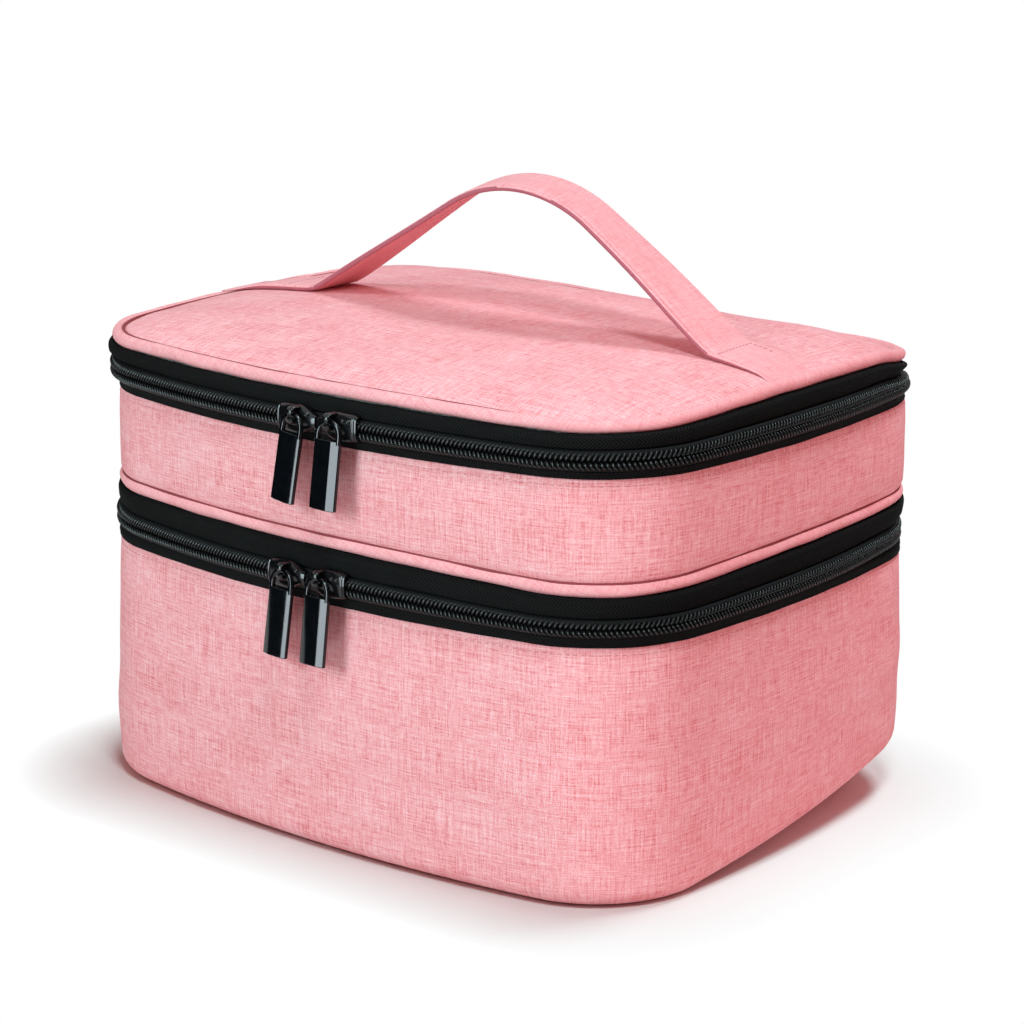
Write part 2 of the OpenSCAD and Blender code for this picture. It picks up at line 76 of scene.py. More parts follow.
# Zip positions: where two sliders meet, right of the middle
UPPER_MEET_X, LOWER_MEET_X = 10.0, 4.0
NOSE_GAP, BAIL_X, SLIDER_L = 0.8, 7.6, 17.0
PIVOT_OUT, BAIL_Z, PLATE_RISE = 8.1435, 3.1, 1.0
BAIL_MID, BAIL_LEG = 10.39, 2.54
PULL_LEAN = 7.0
PULL_L, PULL_W, LOOP_T, LOOP_SIDE, LOOP_HOLE_H = 31.0, 11.0, 1.9, 1.8, 6.2
PULL_T, PULL_FLAT_W = 2.8, 4.4
# How far each pull is turned to the left and hangs out of plumb, in degrees
PULL_SETS = {
    ("upper", "left"): (7.0, -5.0),
    ("upper", "right"): (0.0, -1.5),
    ("lower", "left"): (3.0, -2.5),
    ("lower", "right"): (1.5, -0.8),
}

STRAP_W, STRAP_T, STRAP_RISE = 25.0, 2.4, 54.5
STRAP_TOP_X, STRAP_LEFT, STRAP_RIGHT = 13.0, 95.6, 114.6
STRAP_TOP_R, STRAP_FOOT_R = 57.0, 18.0
STRAP_END_X = 127.6
# How far the arch's near edge leans to the right of its middle
STRAP_SKEW = 3.4


# ---- outline of the case
def meeting(a, ra, b, rb):
    """The point at ra from a and rb from b, on the right of the way from a to b."""
    way = b - a
    length = np.hypot(*way)
    along = way / length
    t = (ra * ra - rb * rb + length * length) / (2 * length)
    return a + along * t + np.array([along[1], -along[0]]) * math.sqrt(ra * ra - t * t)


def outline_arcs():
    """Arcs as (centre, radius, first angle, last angle), counterclockwise from the back's middle."""
    front = np.array([0, FRONT_BOW_R - CASE_D / 2])
    back = np.array([0, CASE_D / 2 - BACK_BOW_R])
    right = np.array([CASE_W / 2 - END_BOW_R, 0])
    left = -right
    mirror = np.array([-1, 1])
    front_right = meeting(right, END_BOW_R - CORNER_R, front, FRONT_BOW_R - CORNER_R)
    back_right = meeting(back, BACK_BOW_R - CORNER_R, right, END_BOW_R - CORNER_R)

    def heading(a, b):
        return math.atan2(b[1] - a[1], b[0] - a[0])

    front_a, back_a = heading(front, front_right), heading(back, back_right)
    low, high = heading(right, front_right), heading(right, back_right)
    pi = math.pi
    return [
        (back, BACK_BOW_R, pi / 2, pi - back_a),
        (back_right * mirror, CORNER_R, pi - back_a, pi - high),
        (left, END_BOW_R, pi - high, pi - low),
        (front_right * mirror, CORNER_R, pi - low, pi - front_a),
        (front, FRONT_BOW_R, -pi - front_a, front_a),
        (front_right, CORNER_R, front_a, low),
        (right, END_BOW_R, low, high),
        (back_right, CORNER_R, high, back_a),
        (back, BACK_BOW_R, back_a, pi / 2),
    ]


ARCS = outline_arcs()
SPANS = np.array([abs(a[3] - a[2]) * a[1] for a in ARCS])
STARTS = np.concatenate([[0], np.cumsum(SPANS)])
ROUND_L = STARTS[-1]
ZIP_START_S = STARTS[1] + SPANS[1] * (1 - ZIP_END_SHARE)
ZIP_END_S = STARTS[7] + SPANS[7] * ZIP_END_SHARE


def places(s):
    """Feet on the wall's line and outward directions at running lengths s."""
    s = np.mod(np.asarray(s, float), ROUND_L)
    arc = np.clip(np.searchsorted(STARTS, s, side="right") - 1, 0, len(ARCS) - 1)
    centre = np.array([a[0] for a in ARCS])[arc]
    radius = np.array([a[1] for a in ARCS])[arc]
    first = np.array([a[2] for a in ARCS])[arc]
    last = np.array([a[3] for a in ARCS])[arc]
    angle = first + (last - first) * (s - STARTS[arc]) / SPANS[arc]
    way = np.stack([np.cos(angle), np.sin(angle)], -1)
    return centre + radius[:, None] * way, way


FINE_OUTLINE, _ = places(np.linspace(0, ROUND_L, 700, endpoint=False))


def depth_inside(x, y):
    """How far points are from the wall's line, on either side of it."""
    flat = np.stack([np.ravel(x), np.ravel(y)], -1)
    groups = np.array_split(flat, len(flat) // 2000 + 1)
    gaps = [np.sqrt(((group[:, None, :] - FINE_OUTLINE[None]) ** 2).sum(-1)).min(1) for group in groups]
    return np.concatenate(gaps).reshape(np.shape(x))


# ---- how the soft case sits
def waves(points, size, seed, count=9):
    """Smooth unevenness from about -1 to 1, as sine waves in random directions."""
    rng = np.random.default_rng(seed)
    total = np.zeros(points.shape[:-1])
    for _ in range(count):
        way = rng.normal(size=3)
        way *= TURN / size * rng.uniform(0.6, 1.5) / np.linalg.norm(way)
        total += np.sin(points @ way + rng.uniform(0, TURN))
    return total / math.sqrt(count)


# Where the soft case sags or stands up: x, y, z, reach across, reach up, drop
SAGS = (
    (108, -80, 112, 55, 12, -2.4),
    (108, -80, 91, 50, 7, 0.7),
    (108, -80, 168, 50, 8, -1.4),
    (108, -80, 144, 50, 8, 1.0),
    (128, 0, 167, 60, 9, 2.0),
    (-128, -72, 169, 30, 8, -0.4),
)
# How far two soft corners are drawn in, by height: the front left one and the back right one
DRAWN_IN = (
    (-122, -87, 62, (25, 55, 88, 93, 95.5, 103, 105, 110, 111, 115, 118, 146, 150, 158.6, 160.5, 163.9, 176),
     (0, 1.5, 2.3, 3.0, 5.6, 5.6, 4.6, 4.4, 3.2, 3.0, 3.4, 3.8, 4.9, 4.9, 2.6, 2.0, 1.2)),
    (122, 87, 50, (60, 90, 94, 95.5, 103, 105, 110, 112, 116, 146, 150, 158.6, 160.5, 163.9, 176),
     (0, 0.3, 1.6, 4.4, 4.4, 2.2, 1.2, 0.2, 0, 0, 1.9, 4.6, 1.4, 0.8, 0)),
)
# The way in which a corner is drawn in, along x and y
DRAWN_X, DRAWN_Y = 0.774, 0.633
# How far the raised edge of the base reaches inward
EDGE_REACH = 15


def eased(share):
    """A smooth step from 0 to 1."""
    share = np.clip(share, 0, 1)
    return share * share * (3 - 2 * share)


def lid_fall(x, y, z):
    """How far the lid sinks towards its hinge, more right of the middle than left."""
    back = 4.5 + 2.0 * np.tanh((x + 10) / 70) - 2.2 * eased((x - 85) / 45)
    return back * eased((y - 50) / 42) * eased((z - 151) / 12)


def base_rise(x, y, z):
    """How far the bottom edge stands up towards the back right. Further in, the base lies flat."""
    share = np.clip((y + 54) / 137, 0, 1.1)
    climb = (14.5 * share**0.9 + 4.5 * share**2) * eased((x + 60) / 165)
    edge = np.exp(-((depth_inside(x, y) / EDGE_REACH) ** 2))
    return climb * edge * (1 - z / LOWER_BAND_Z) ** 1.6


def settled(points):
    """Gives points the soft case's set: sags, drawn-in corners, a lid that falls back and a raised edge."""
    points = points.copy()
    x, y, z = points[..., 0].copy(), points[..., 1].copy(), points[..., 2]
    rise = -lid_fall(x, y, z)
    for sx, sy, sz, across, up, drop in SAGS:
        far = ((x - sx) ** 2 + (y - sy) ** 2) / across**2 + ((z - sz) / up) ** 2
        rise += drop * np.exp(-far)
    low = z < LOWER_BAND_Z
    if low.any():
        rise[low] += base_rise(x[low], y[low], z[low])
    points[..., 2] += rise
    for cx, cy, reach, levels, amounts in DRAWN_IN:
        amount = np.interp(z, levels, amounts) * np.exp(-((x - cx) ** 2 + (y - cy) ** 2) / reach**2)
        points[..., 0] -= amount * math.copysign(DRAWN_X, cx)
        points[..., 1] -= amount * math.copysign(DRAWN_Y, cy)
    return points


# ---- meshes
def skin(name, verts, faces, cloth=None, sharp=None):
    """A mesh object from millimetres, with its cloth map from one (along, up) pair for each face corner."""
    mesh = bpy.data.meshes.new(name)
    mesh.from_pydata((np.asarray(verts, float) * MM).tolist(), [], faces)
    if cloth is not None:
        layer = mesh.uv_layers.new(name="cloth")
        layer.data.foreach_set("uv", np.asarray(cloth, np.float32).ravel())
    mesh.shade_smooth()
    if sharp is not None:
        mesh.set_sharp_from_angle(angle=math.radians(sharp))
    piece = bpy.data.objects.new(name, mesh)
    bpy.context.scene.collection.objects.link(piece)
    return piece


def tube_faces(rows, cols):
    """The faces between the rows of a net that is closed round its columns."""
    faces = []
    for low in range(0, (rows - 1) * cols, cols):
        for j in range(cols):
            k = (j + 1) % cols
            faces.append([low + j, low + k, low + cols + k, low + cols + j])
    return faces


def netted(name, net, along, up, closed, capped, sharp):
    """A piece from a net of points. along and up are the cloth map's values at the net's lines.

    They have one value more than the net has points where that way is closed.
    """
    n, m = net.shape[:2]
    rows, cols = n - (not closed[0]), m - (not closed[1])
    i, j = (a.ravel() for a in np.meshgrid(np.arange(rows), np.arange(cols), indexing="ij"))
    i2, j2 = (i + 1) % n, (j + 1) % m
    quads = np.stack([i * m + j, i2 * m + j, i2 * m + j2, i * m + j2], -1)
    along, up = np.asarray(along, float), np.asarray(up, float)
    u = np.stack([along[i], along[i + 1], along[i + 1], along[i]], -1).ravel()
    v = np.stack([up[j], up[j], up[j + 1], up[j + 1]], -1).ravel()
    faces, cloth = quads.tolist(), np.stack([u, v], -1)
    if capped:
        first, last = list(range(m))[::-1], [(n - 1) * m + k for k in range(m)]
        faces += [first, last]
        flat = [[k % m, 0] for k in range(2 * m)]
        cloth = np.concatenate([cloth, np.array(flat, float) * 0.3])
    return skin(name, net.reshape(-1, 3), faces, cloth, sharp)


def lengths(points):
    """Running length along a line of points, starting at 0."""
    return np.concatenate([[0], np.cumsum(np.linalg.norm(np.diff(points, axis=0), axis=-1))])


def carried(name, section, start=0.0, end=None, pitch=3.0, shape=None, sharp=50):
    """Carries a closed section of (out, up) points along the outline, all round or from start to end."""
    section = np.asarray(section, float)
    round_it = end is None
    length = ROUND_L if round_it else end - start
    n = int(length / pitch)
    s = start + length * np.arange(n + 1) / n
    stops = s[:-1] if round_it else s
    foot, way = places(stops)
    out = np.repeat(section[None, :, 0], len(stops), 0)
    up = np.repeat(section[None, :, 1], len(stops), 0)
    if shape:
        out, up = shape(stops[:, None], out, up)
    net = np.empty(out.shape + (3,))
    net[..., :2] = foot[:, None, :] + out[..., None] * way[:, None, :]
    net[..., 2] = up
    around = lengths(np.concatenate([section, section[:1]])) + section[0, 1]
    return netted(name, settled(net), s, around, (round_it, True), not round_it, sharp)


def bend(centre, r, first, last, steps):
    """Points on an arc, by angles in degrees."""
    return [
        (centre[0] + r * math.cos(math.radians(a)), centre[1] + r * math.sin(math.radians(a)))
        for a in np.linspace(first, last, steps + 1)
    ]


def line(a, b, steps):
    """Points from a up to but without b."""
    return [(a[0] + (b[0] - a[0]) * k / steps, a[1] + (b[1] - a[1]) * k / steps) for k in range(steps)]


def soft_block(out0, out1, z0, z1, r, pitch=4.0):
    """A block's section with round edges and points along its faces."""
    r = min(r, (out1 - out0) / 2 * 0.98, (z1 - z0) / 2 * 0.98)
    tall, wide = max(1, int((z1 - z0) / pitch)), max(1, int((out1 - out0) / pitch))
    corners = [
        bend((out1 - r, z0 + r), r, -90, 0, 3),
        bend((out1 - r, z1 - r), r, 0, 90, 3),
        bend((out0 + r, z1 - r), r, 90, 180, 3),
        bend((out0 + r, z0 + r), r, 180, 270, 3),
    ]
    points = []
    for k, corner in enumerate(corners):
        nxt = corners[(k + 1) % 4][0]
        points += corner[:-1] + line(corner[-1], nxt, tall if k % 2 == 0 else wide)
    return points


def flat_pad(name, out, z0, z1, edge_r=0.5, top=None, low=None, step=4.0):
    """A layer within the outline, with round edges. top and low lift its faces by a height for each (x, y)."""
    n = int(ROUND_L / step)
    foot, way = places(ROUND_L * np.arange(n) / n)
    rim = foot + out * way
    share = np.linspace(0, 1, int(90 / step) + 1)[1:-1] ** 0.9
    edge_r = min(edge_r, (z1 - z0) / 2)
    edge = bend((-edge_r, z0 + edge_r), edge_r, -90, 0, 3) + bend((-edge_r, z1 - edge_r), edge_r, 0, 90, 3)

    def ring(flat, z, lift):
        up = np.full(len(flat), z) + (lift(flat[:, 0], flat[:, 1]) if lift else 0)
        return np.concatenate([flat, up[:, None]], 1)

    inner = rim - edge_r * way
    rings = [ring(inner * scale, z0, low) for scale in share]
    rings += [ring(rim + o * way, z, low if z < (z0 + z1) / 2 else top) for o, z in edge]
    rings += [ring(inner * scale, z1, top) for scale in share[::-1]]
    m = len(rings)
    middle = np.zeros((1, 2))
    verts = settled(np.concatenate([*rings, ring(middle, z0, low), ring(middle, z1, top)]))
    faces = tube_faces(m, n)
    below, above = m * n, m * n + 1
    faces += [[below, (k + 1) % n, k] for k in range(n)]
    faces += [[above, (m - 1) * n + k, (m - 1) * n + (k + 1) % n] for k in range(n)]
    cloth = np.concatenate([verts[f][:, :2] for f in faces])
    return skin(name, verts, faces, cloth, 50)


def bead(path, radii, sides=8, squeeze=(1.0, 1.0)):
    """Points and faces of a closed tube along a path. squeeze scales it across its two sides."""
    path = np.asarray(path, float)
    radii = np.broadcast_to(np.asarray(radii, float), len(path)).copy()
    ahead = np.gradient(path, axis=0)
    ahead /= np.linalg.norm(ahead, axis=1)[:, None]
    guide = np.array([0.0, 0, 1]) if abs(ahead[:, 2]).mean() < 0.7 else np.array([1.0, 0, 0])
    verts = []
    for p, way, r in zip(path, ahead, radii):
        side = np.cross(way, guide)
        side /= np.linalg.norm(side)
        up = np.cross(side, way)
        for k in range(sides):
            a = TURN * k / sides
            verts.append(p + r * (math.cos(a) * side * squeeze[0] + math.sin(a) * up * squeeze[1]))
    n = len(path)
    faces = tube_faces(n, sides)
    verts += [path[0] - ahead[0] * radii[0] * 0.5, path[-1] + ahead[-1] * radii[-1] * 0.5]
    for k in range(sides):
        k2 = (k + 1) % sides
        faces.append([n * sides, k2, k])
        faces.append([n * sides + 1, (n - 1) * sides + k, (n - 1) * sides + k2])
    return np.array(verts), faces


def repeated(name, spots, frames, verts, faces, soft=True):
    """One piece with a small form at each spot. frames holds each copy's three directions as rows."""
    every = spots[:, None, :] + np.einsum("vk,nkc->nvc", verts, frames)
    count, m = len(spots), len(verts)
    all_faces = [[v + k * m for v in f] for k in range(count) for f in faces]
    points = every.reshape(-1, 3)
    return skin(name, settled(points) if soft else points, all_faces)


def wall_frames(s, out, up):
    """Spots beside the wall at running lengths s, and their directions along, outward and up."""
    foot, way = places(s)
    spots = np.concatenate([foot + np.reshape(out, (-1, 1)) * way, np.full((len(foot), 1), up)], 1)
    zero = np.zeros(len(foot))
    along = np.stack([-way[:, 1], way[:, 0], zero], -1)
    outward = np.stack([way[:, 0], way[:, 1], zero], -1)
    upward = np.stack([zero, zero, zero + 1], -1)
    return spots, np.stack([along, outward, upward], 1)


# ---- shader maths
class Val:
    """A socket of a material, used in sums."""

    def __init__(self, finish, socket):
        self.finish, self.socket = finish, socket

    def _maths(self, operation, other):
        return self.finish.node("Math", {"operation": operation}, {0: self, 1: other})

    def __add__(self, other):
        return self._maths("ADD", other)

    __radd__ = __add__

    def __mul__(self, other):
        return self._maths("MULTIPLY", other)

    __rmul__ = __mul__

    def most(self, other):
        """The larger of two values."""
        return self._maths("MAXIMUM", other)


class Finish:
    """Nodes of a new material, or of the world where one is given."""

    def __init__(self, name, world=None):
        self.material = world or bpy.data.materials.new(name)
        self.material.use_nodes = True
        self.tree = self.material.node_tree
        self.tree.nodes.clear()

    def node(self, kind, settings=None, inputs=None, out=0):
        """Adds a node by its type, with its settings first and then the values or links of its sockets."""
        node = self.tree.nodes.new("ShaderNode" + kind)
        for key, value in (settings or {}).items():
            if key == "stops":
                ramp = node.color_ramp
                while len(ramp.elements) < len(value):
                    ramp.elements.new(0.5)
                for element, (at, colour) in zip(ramp.elements, value):
                    element.position = at
                    element.color = (*colour, 1)
            else:
                setattr(node, key, value)
        for key, value in (inputs or {}).items():
            if isinstance(value, Val):
                self.tree.links.new(value.socket, node.inputs[key])
            else:
                node.inputs[key].default_value = value
        return Val(self, node.outputs[out]) if len(node.outputs) else None

    def sine(self, value):
        """The sine of a value in radians."""
        return self.node("Math", {"operation": "SINE"}, {0: value})

    def mapped(self):
        """The cloth map, in millimetres."""
        return self.node("UVMap", {"uv_map": "cloth"})

    def parts(self, vector):
        """The first two parts of a vector, which are running length and height in the cloth map."""
        return [self.node("SeparateXYZ", None, {0: vector}, out=k) for k in (0, 1)]

    def place(self):
        """The point's own place, in millimetres."""
        return self.scaled(self.node("TexCoord", out="Object"), (1 / MM,) * 3)

    def scaled(self, vector, by, shift=(0, 0, 0)):
        """A vector times another, then moved."""
        grown = self.node("VectorMath", {"operation": "MULTIPLY"}, {0: vector, 1: by})
        return self.node("VectorMath", {"operation": "ADD"}, {0: grown, 1: shift}) if any(shift) else grown

    def noise(self, vector, by=(1, 1, 1), detail=2.0, rough=0.5, shift=(0, 0, 0)):
        """Noise from 0 to 1, stretched by the scale of each direction."""
        spot = self.scaled(vector, by, shift)
        return self.node("TexNoise", None, {"Vector": spot, "Scale": 1.0, "Detail": detail, "Roughness": rough})

    def spread(self, value, low, high, to_low=0.0, to_high=1.0):
        """A value from low to high, mapped to another span and kept inside it."""
        return self.node("MapRange", {"clamp": True}, {0: value, 1: low, 2: high, 3: to_low, 4: to_high})

    def blended(self, share, a, b, way="MIX"):
        """A colour between a and b."""
        inputs = {0: share}
        for key, colour in ((6, a), (7, b)):
            inputs[key] = colour if isinstance(colour, Val) else (*colour, 1)
        return self.node("Mix", {"data_type": "RGBA", "blend_type": way}, inputs, out=2)

    def bumped(self, height, strength, deep):
        """A normal from a height from 0 to 1, which is deep metres at 1."""
        return self.node("Bump", None, {"Height": height, "Strength": strength, "Distance": deep})

    def finished(self, **sockets):
        """Ends the material in its main shader. Underscores in names stand for spaces."""
        inputs = {key.replace("_", " "): value for key, value in sockets.items()}
        shader = self.node("BsdfPrincipled", None, inputs)
        self.node("OutputMaterial", None, {"Surface": shader})
        return self.material


def heather(name, bias=0.0, soft=0.0):
    """Pink heather cloth: a plain weave whose threads are unevenly dyed along their length, both ways."""
    weave = 0.92
    finish = Finish(name)
    cloth = finish.mapped()
    if bias:
        cloth = finish.node("VectorRotate", {"rotation_type": "Z_AXIS"}, {"Vector": cloth, "Angle": bias})
    u, v = finish.parts(cloth)
    weft = finish.noise(cloth, (0.05, 1.75, 1), 2.0, 0.6)
    warp = finish.noise(cloth, (1.75, 0.05, 1), 2.0, 0.6, (31, 17, 5))
    short_weft = finish.noise(cloth, (0.22, 2.3, 1), 1.0, 0.5, (7, 3, 11))
    short_warp = finish.noise(cloth, (2.3, 0.22, 1), 1.0, 0.5, (13, 29, 2))
    fleck = finish.noise(cloth, (1.5, 1.5, 1), 2.0, 0.65, (1, 4, 8))
    patches = finish.noise(cloth, (0.035, 0.05, 1), 2.0, 0.5, (3, 9, 2))
    over = finish.sine(u * (TURN / weave)) * finish.sine(v * (TURN / weave))
    tone = weft + warp + (short_weft + short_warp) * 0.75 + fleck * 0.9 + patches * 0.35 + over * 0.06
    tone = finish.spread(tone, 1.955 - soft, 2.795 + soft)
    colour = finish.node("ValToRGB", {"stops": [
        (0.0, (0.70, 0.175, 0.192)),
        (0.22, (0.80, 0.27, 0.293)),
        (0.5, (0.865, 0.36, 0.386)),
        (0.8, (0.90, 0.445, 0.474)),
        (1.0, (0.92, 0.55, 0.58)),
    ]}, {0: tone})
    height = over * 0.3 + (weft + warp) * 0.5 + fleck * 0.4
    return finish.finished(
        Base_Color=colour, Roughness=0.9, Specular_IOR_Level=0.12,
        Normal=finish.bumped(height, 0.4, 0.0002),
    )


def plain_cloth(name, colour, deep_colour, pitch=0.7, rough=0.9, bump=0.5):
    """A plain woven lining or tape cloth."""
    finish = Finish(name)
    cloth = finish.mapped()
    u, v = finish.parts(cloth)
    over = finish.sine(u * (TURN / pitch)) * finish.sine(v * (TURN / pitch))
    worn = finish.noise(cloth, (0.05, 0.07, 1), 3.0, 0.55)
    streak = finish.noise(cloth, (0.12, 2.0, 1), 2.0, 0.5, (4, 8, 1))
    tone = finish.spread(over * 0.16 + worn * 0.7 + streak * 0.5, 0.35, 0.95)
    return finish.finished(
        Base_Color=finish.blended(tone, deep_colour, colour), Roughness=rough, Specular_IOR_Level=0.1,
        Normal=finish.bumped(over * 0.4 + streak * 0.6, bump, 0.0002),
    )


def herringbone(name):
    """Black zip tape, woven in a herringbone that turns every few millimetres."""
    finish = Finish(name)
    cloth = finish.mapped()
    u, v = finish.parts(cloth)
    turn = finish.node("Math", {"operation": "PINGPONG"}, {0: v, 1: 2.4})
    twill = finish.sine((u + turn * 1.1) * (TURN / 1.3))
    worn = finish.noise(cloth, (0.1, 0.5, 1), 3.0, 0.6)
    fuzz = finish.noise(cloth, (1.8, 1.8, 1), 2.0, 0.6, (2, 5, 7))
    tone = finish.spread(twill * 0.4 + worn * 0.4 + fuzz * 0.5, 0.2, 1.0)
    return finish.finished(
        Base_Color=finish.blended(tone, (0.001, 0.001, 0.001), (0.013, 0.0122, 0.0122)), Roughness=0.85,
        Specular_IOR_Level=0.05,
        Normal=finish.bumped(twill * 0.35 + fuzz * 0.5, 0.6, 0.00025),
    )


def ribbed(name, colour, deep_colour):
    """Ribbed binding tape."""
    finish = Finish(name)
    cloth = finish.mapped()
    u, _ = finish.parts(cloth)
    ribs = finish.sine(u * (TURN / 1.1))
    fuzz = finish.noise(cloth, (1.5, 1.5, 1), 2.0, 0.6)
    tone = finish.spread(ribs * 0.3 + fuzz, 0.2, 0.9)
    return finish.finished(
        Base_Color=finish.blended(tone, deep_colour, colour), Roughness=0.85, Specular_IOR_Level=0.08,
        Normal=finish.bumped(ribs * 0.5 + fuzz * 0.3, 0.5, 0.0003),
    )


def nylon(name):
    """Satin black nylon of the zip's coil."""
    finish = Finish(name)
    spot = finish.place()
    mottle = finish.noise(spot, (0.7, 0.7, 0.7), 3.0, 0.6)
    tone = finish.spread(mottle, 0.3, 0.7)
    return finish.finished(
        Base_Color=finish.blended(tone, (0.003, 0.003, 0.0032), (0.012, 0.012, 0.0125)),
        Roughness=finish.spread(mottle, 0.3, 0.7, 0.24, 0.33), Specular_IOR_Level=0.34,
        Normal=finish.bumped(mottle, 0.2, 0.0002),
    )


def gloss_black(name, colour, rough):
    """Black plated metal with a clear gloss, faintly uneven."""
    finish = Finish(name)
    spot = finish.place()
    mottle = finish.noise(spot, (0.25, 0.25, 0.25), 3.0, 0.55)
    fine = finish.noise(spot, (2.5, 2.5, 2.5), 2.0, 0.6, (3, 3, 3))
    return finish.finished(
        Base_Color=finish.blended(finish.spread(mottle, 0.3, 0.7), colour, tuple(c * 1.6 for c in colour)),
        Roughness=finish.spread(mottle * 0.6 + fine * 0.4, 0.3, 0.7, rough, rough + 0.06),
        Specular_IOR_Level=0.4, Normal=finish.bumped(fine, 0.03, 0.0001),
    )


def thread(name, colour):
    """Twisted sewing thread. Its dark versions also serve as painted shade beside the pipings and along the
    strap's near edge.
    """
    finish = Finish(name)
    spot = finish.place()
    twist = finish.noise(spot, (3, 3, 3), 2.0, 0.6)
    tone = finish.spread(twist, 0.3, 0.7)
    return finish.finished(
        Base_Color=finish.blended(tone, tuple(c * 0.75 for c in colour), colour), Roughness=0.7,
        Specular_IOR_Level=0.1, Normal=finish.bumped(twist, 0.4, 0.0002),
    )


def grained(name, colour, deep_colour, grain=0.4, rough=0.8):
    """Board or foam, with a fine grain."""
    finish = Finish(name)
    spot = finish.place()
    fine = finish.noise(spot, (grain,) * 3, 4.0, 0.6)
    tone = finish.spread(fine, 0.3, 0.7)
    return finish.finished(
        Base_Color=finish.blended(tone, deep_colour, colour), Roughness=rough, Specular_IOR_Level=0.3,
        Normal=finish.bumped(fine, 0.4, 0.0004),
    )


PINK_CLOTH = heather("pink_heather_cloth")
PINK_EDGE = heather("pink_piping_cloth", bias=0.5, soft=0.35)
PINK_STRAP = heather("pink_strap_cloth", soft=0.3)
LINING = plain_cloth("dark_lining_cloth", (0.035, 0.035, 0.038), (0.014, 0.014, 0.016))
DIVIDER = plain_cloth("divider_cloth", (0.045, 0.045, 0.048), (0.02, 0.02, 0.022), 1.1, 0.95, 0.6)
HINGE_CLOTH = plain_cloth("hinge_cloth", (0.014, 0.014, 0.0155), (0.005, 0.005, 0.006), 0.8)
TAPE = herringbone("zip_tape")
COIL_CORD = thread("zip_coil_cord", (0.004, 0.004, 0.0045))
BINDING = ribbed("binding_tape", (0.015, 0.015, 0.016), (0.005, 0.005, 0.0055))
COIL = nylon("zip_coil")
SLIDER_BLACK = gloss_black("slider_black", (0.0025, 0.0025, 0.003), 0.14)
PULL_BLACK = gloss_black("pull_black", (0.0018, 0.0022, 0.003), 0.06)
PINK_THREAD = thread("pink_thread", (0.80, 0.30, 0.315))
# Rose thread for the strap's stitches; the same dark rose on the strap's near edge is painted shade
ROSE_THREAD_AND_EDGE_SHADE = thread("rose_thread_and_edge_shade", (0.52, 0.14, 0.18))
# A dark rose strip laid in the grooves beside the tray's and the lid's piping, as painted shade
PAINTED_SEAM_SHADE = thread("painted_seam_shade", (0.30, 0.055, 0.065))
BLACK_THREAD = thread("black_thread", (0.02, 0.02, 0.022))
BOARD = grained("grey_board", (0.52, 0.49, 0.42), (0.42, 0.39, 0.33))
FOAM = grained("pale_foam", (0.72, 0.72, 0.68), (0.55, 0.55, 0.52), 0.8, 0.95)


def dressed(piece, finish, body, slot, *nodes):
    """Gives a piece its finish and body, and hides the nodes that it stands for. slot is not used."""
    piece.data.materials.clear()
    piece.data.materials.append(finish)
    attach(piece, body)
    if nodes:
        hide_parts(*nodes)
    return piece


# ---- cloth walls
def wall_shape(z0, z1, bulge, seed):
    """Lets a wall's outer face swell between its seams and waver a little."""

    def shape(s, out, up):
        share = np.clip((up - z0) / (z1 - z0), 0, 1)
        outer = np.clip((out + WALL_T / 2) / (WALL_T / 2), 0, 1)
        s = np.broadcast_to(s, out.shape)
        ripple = waves(np.stack([s, up * 1.4, up * 0], -1), 46, seed) * 0.28
        swell = bulge * np.sin(math.pi * share) ** 0.7 + ripple * np.sin(math.pi * share)
        return out + swell * outer, up

    return shape


LOWER_SWELL = wall_shape(2, LOWER_BAND_Z, 1.0, 3)
TRAY_SWELL = wall_shape(TRAY_Z + PIPING_W - 1.4, UPPER_BAND_Z, 0.8, 8)


def lower_wall():
    """The deep box's padded wall, turned in under its foot."""
    r, tight = BOTTOM_EDGE_R, 6.5
    top, t = LOWER_WALL_TOP, WALL_T
    foot = [(-r, 0)] + bend((-tight, tight), tight, 270, 360, 8)[:-1]
    outer = foot + line((0, tight), (0, LOWER_BAND_Z - 1.5), 20)
    outer += [(0, LOWER_BAND_Z - 1.5), (-0.25, LOWER_BAND_Z - 0.4), (-0.35, LOWER_BAND_Z + 1)]
    outer += [(-0.4, top - 0.5), (-0.8, top)]
    inner = [(-t + 0.4, top)] + line((-t, top - 0.5), (-t, r), 10) + bend((-r, r), r - t, 360, 270, 5)
    piece = carried("lower_wall_cloth", outer + inner, shape=LOWER_SWELL, sharp=60)
    dressed(piece, PINK_CLOTH, "lower_box", "pink_cloth", "lower_wall")


def tray_wall():
    """The tray's padded wall, from its piping up behind the upper zip."""
    low, top, t = TRAY_Z + PIPING_W - 0.4, TRAY_WALL_TOP, WALL_T
    outer = [(-2.6, low), (-1.5, low + 0.1), (-0.75, low + 0.6), (-0.25, low + 1.5)]
    outer += line((0, low + 2.7), (0, UPPER_BAND_Z - 1.5), 10)
    tuck = [(0, UPPER_BAND_Z - 1.5), (-0.25, UPPER_BAND_Z - 0.4), (-0.35, UPPER_BAND_Z + 0.8), (-0.8, top)]
    inner = [(-t + 0.4, top)] + line((-t, top - 0.5), (-t, low), 6) + [(-t, low)]
    piece = carried("tray_wall_cloth", outer + tuck + inner, shape=TRAY_SWELL, sharp=60)
    dressed(piece, PINK_CLOTH, "tray", "pink_cloth", "tray_wall")


def piping_section(z0):
    """Piping as a round roll that leans on the seam behind it."""
    out1, out0, z1 = PIPING_OUT, PIPING_OUT - PIPING_W, z0 + PIPING_W
    r = PIPING_W / 2 - 0.1
    return (
        line((out0, z0 + 0.1), (out1 - r, z0 + 0.1), 2)
        + bend((out1 - r, z0 + 0.1 + r), r, -90, 0, 5)[:-1]
        + bend((out1 - r, z1 - r - 0.05), r, 0, 128, 7)
        + [(out0 + 0.5, z0 + 2.9), (out0, z0 + 2.6)]
    )


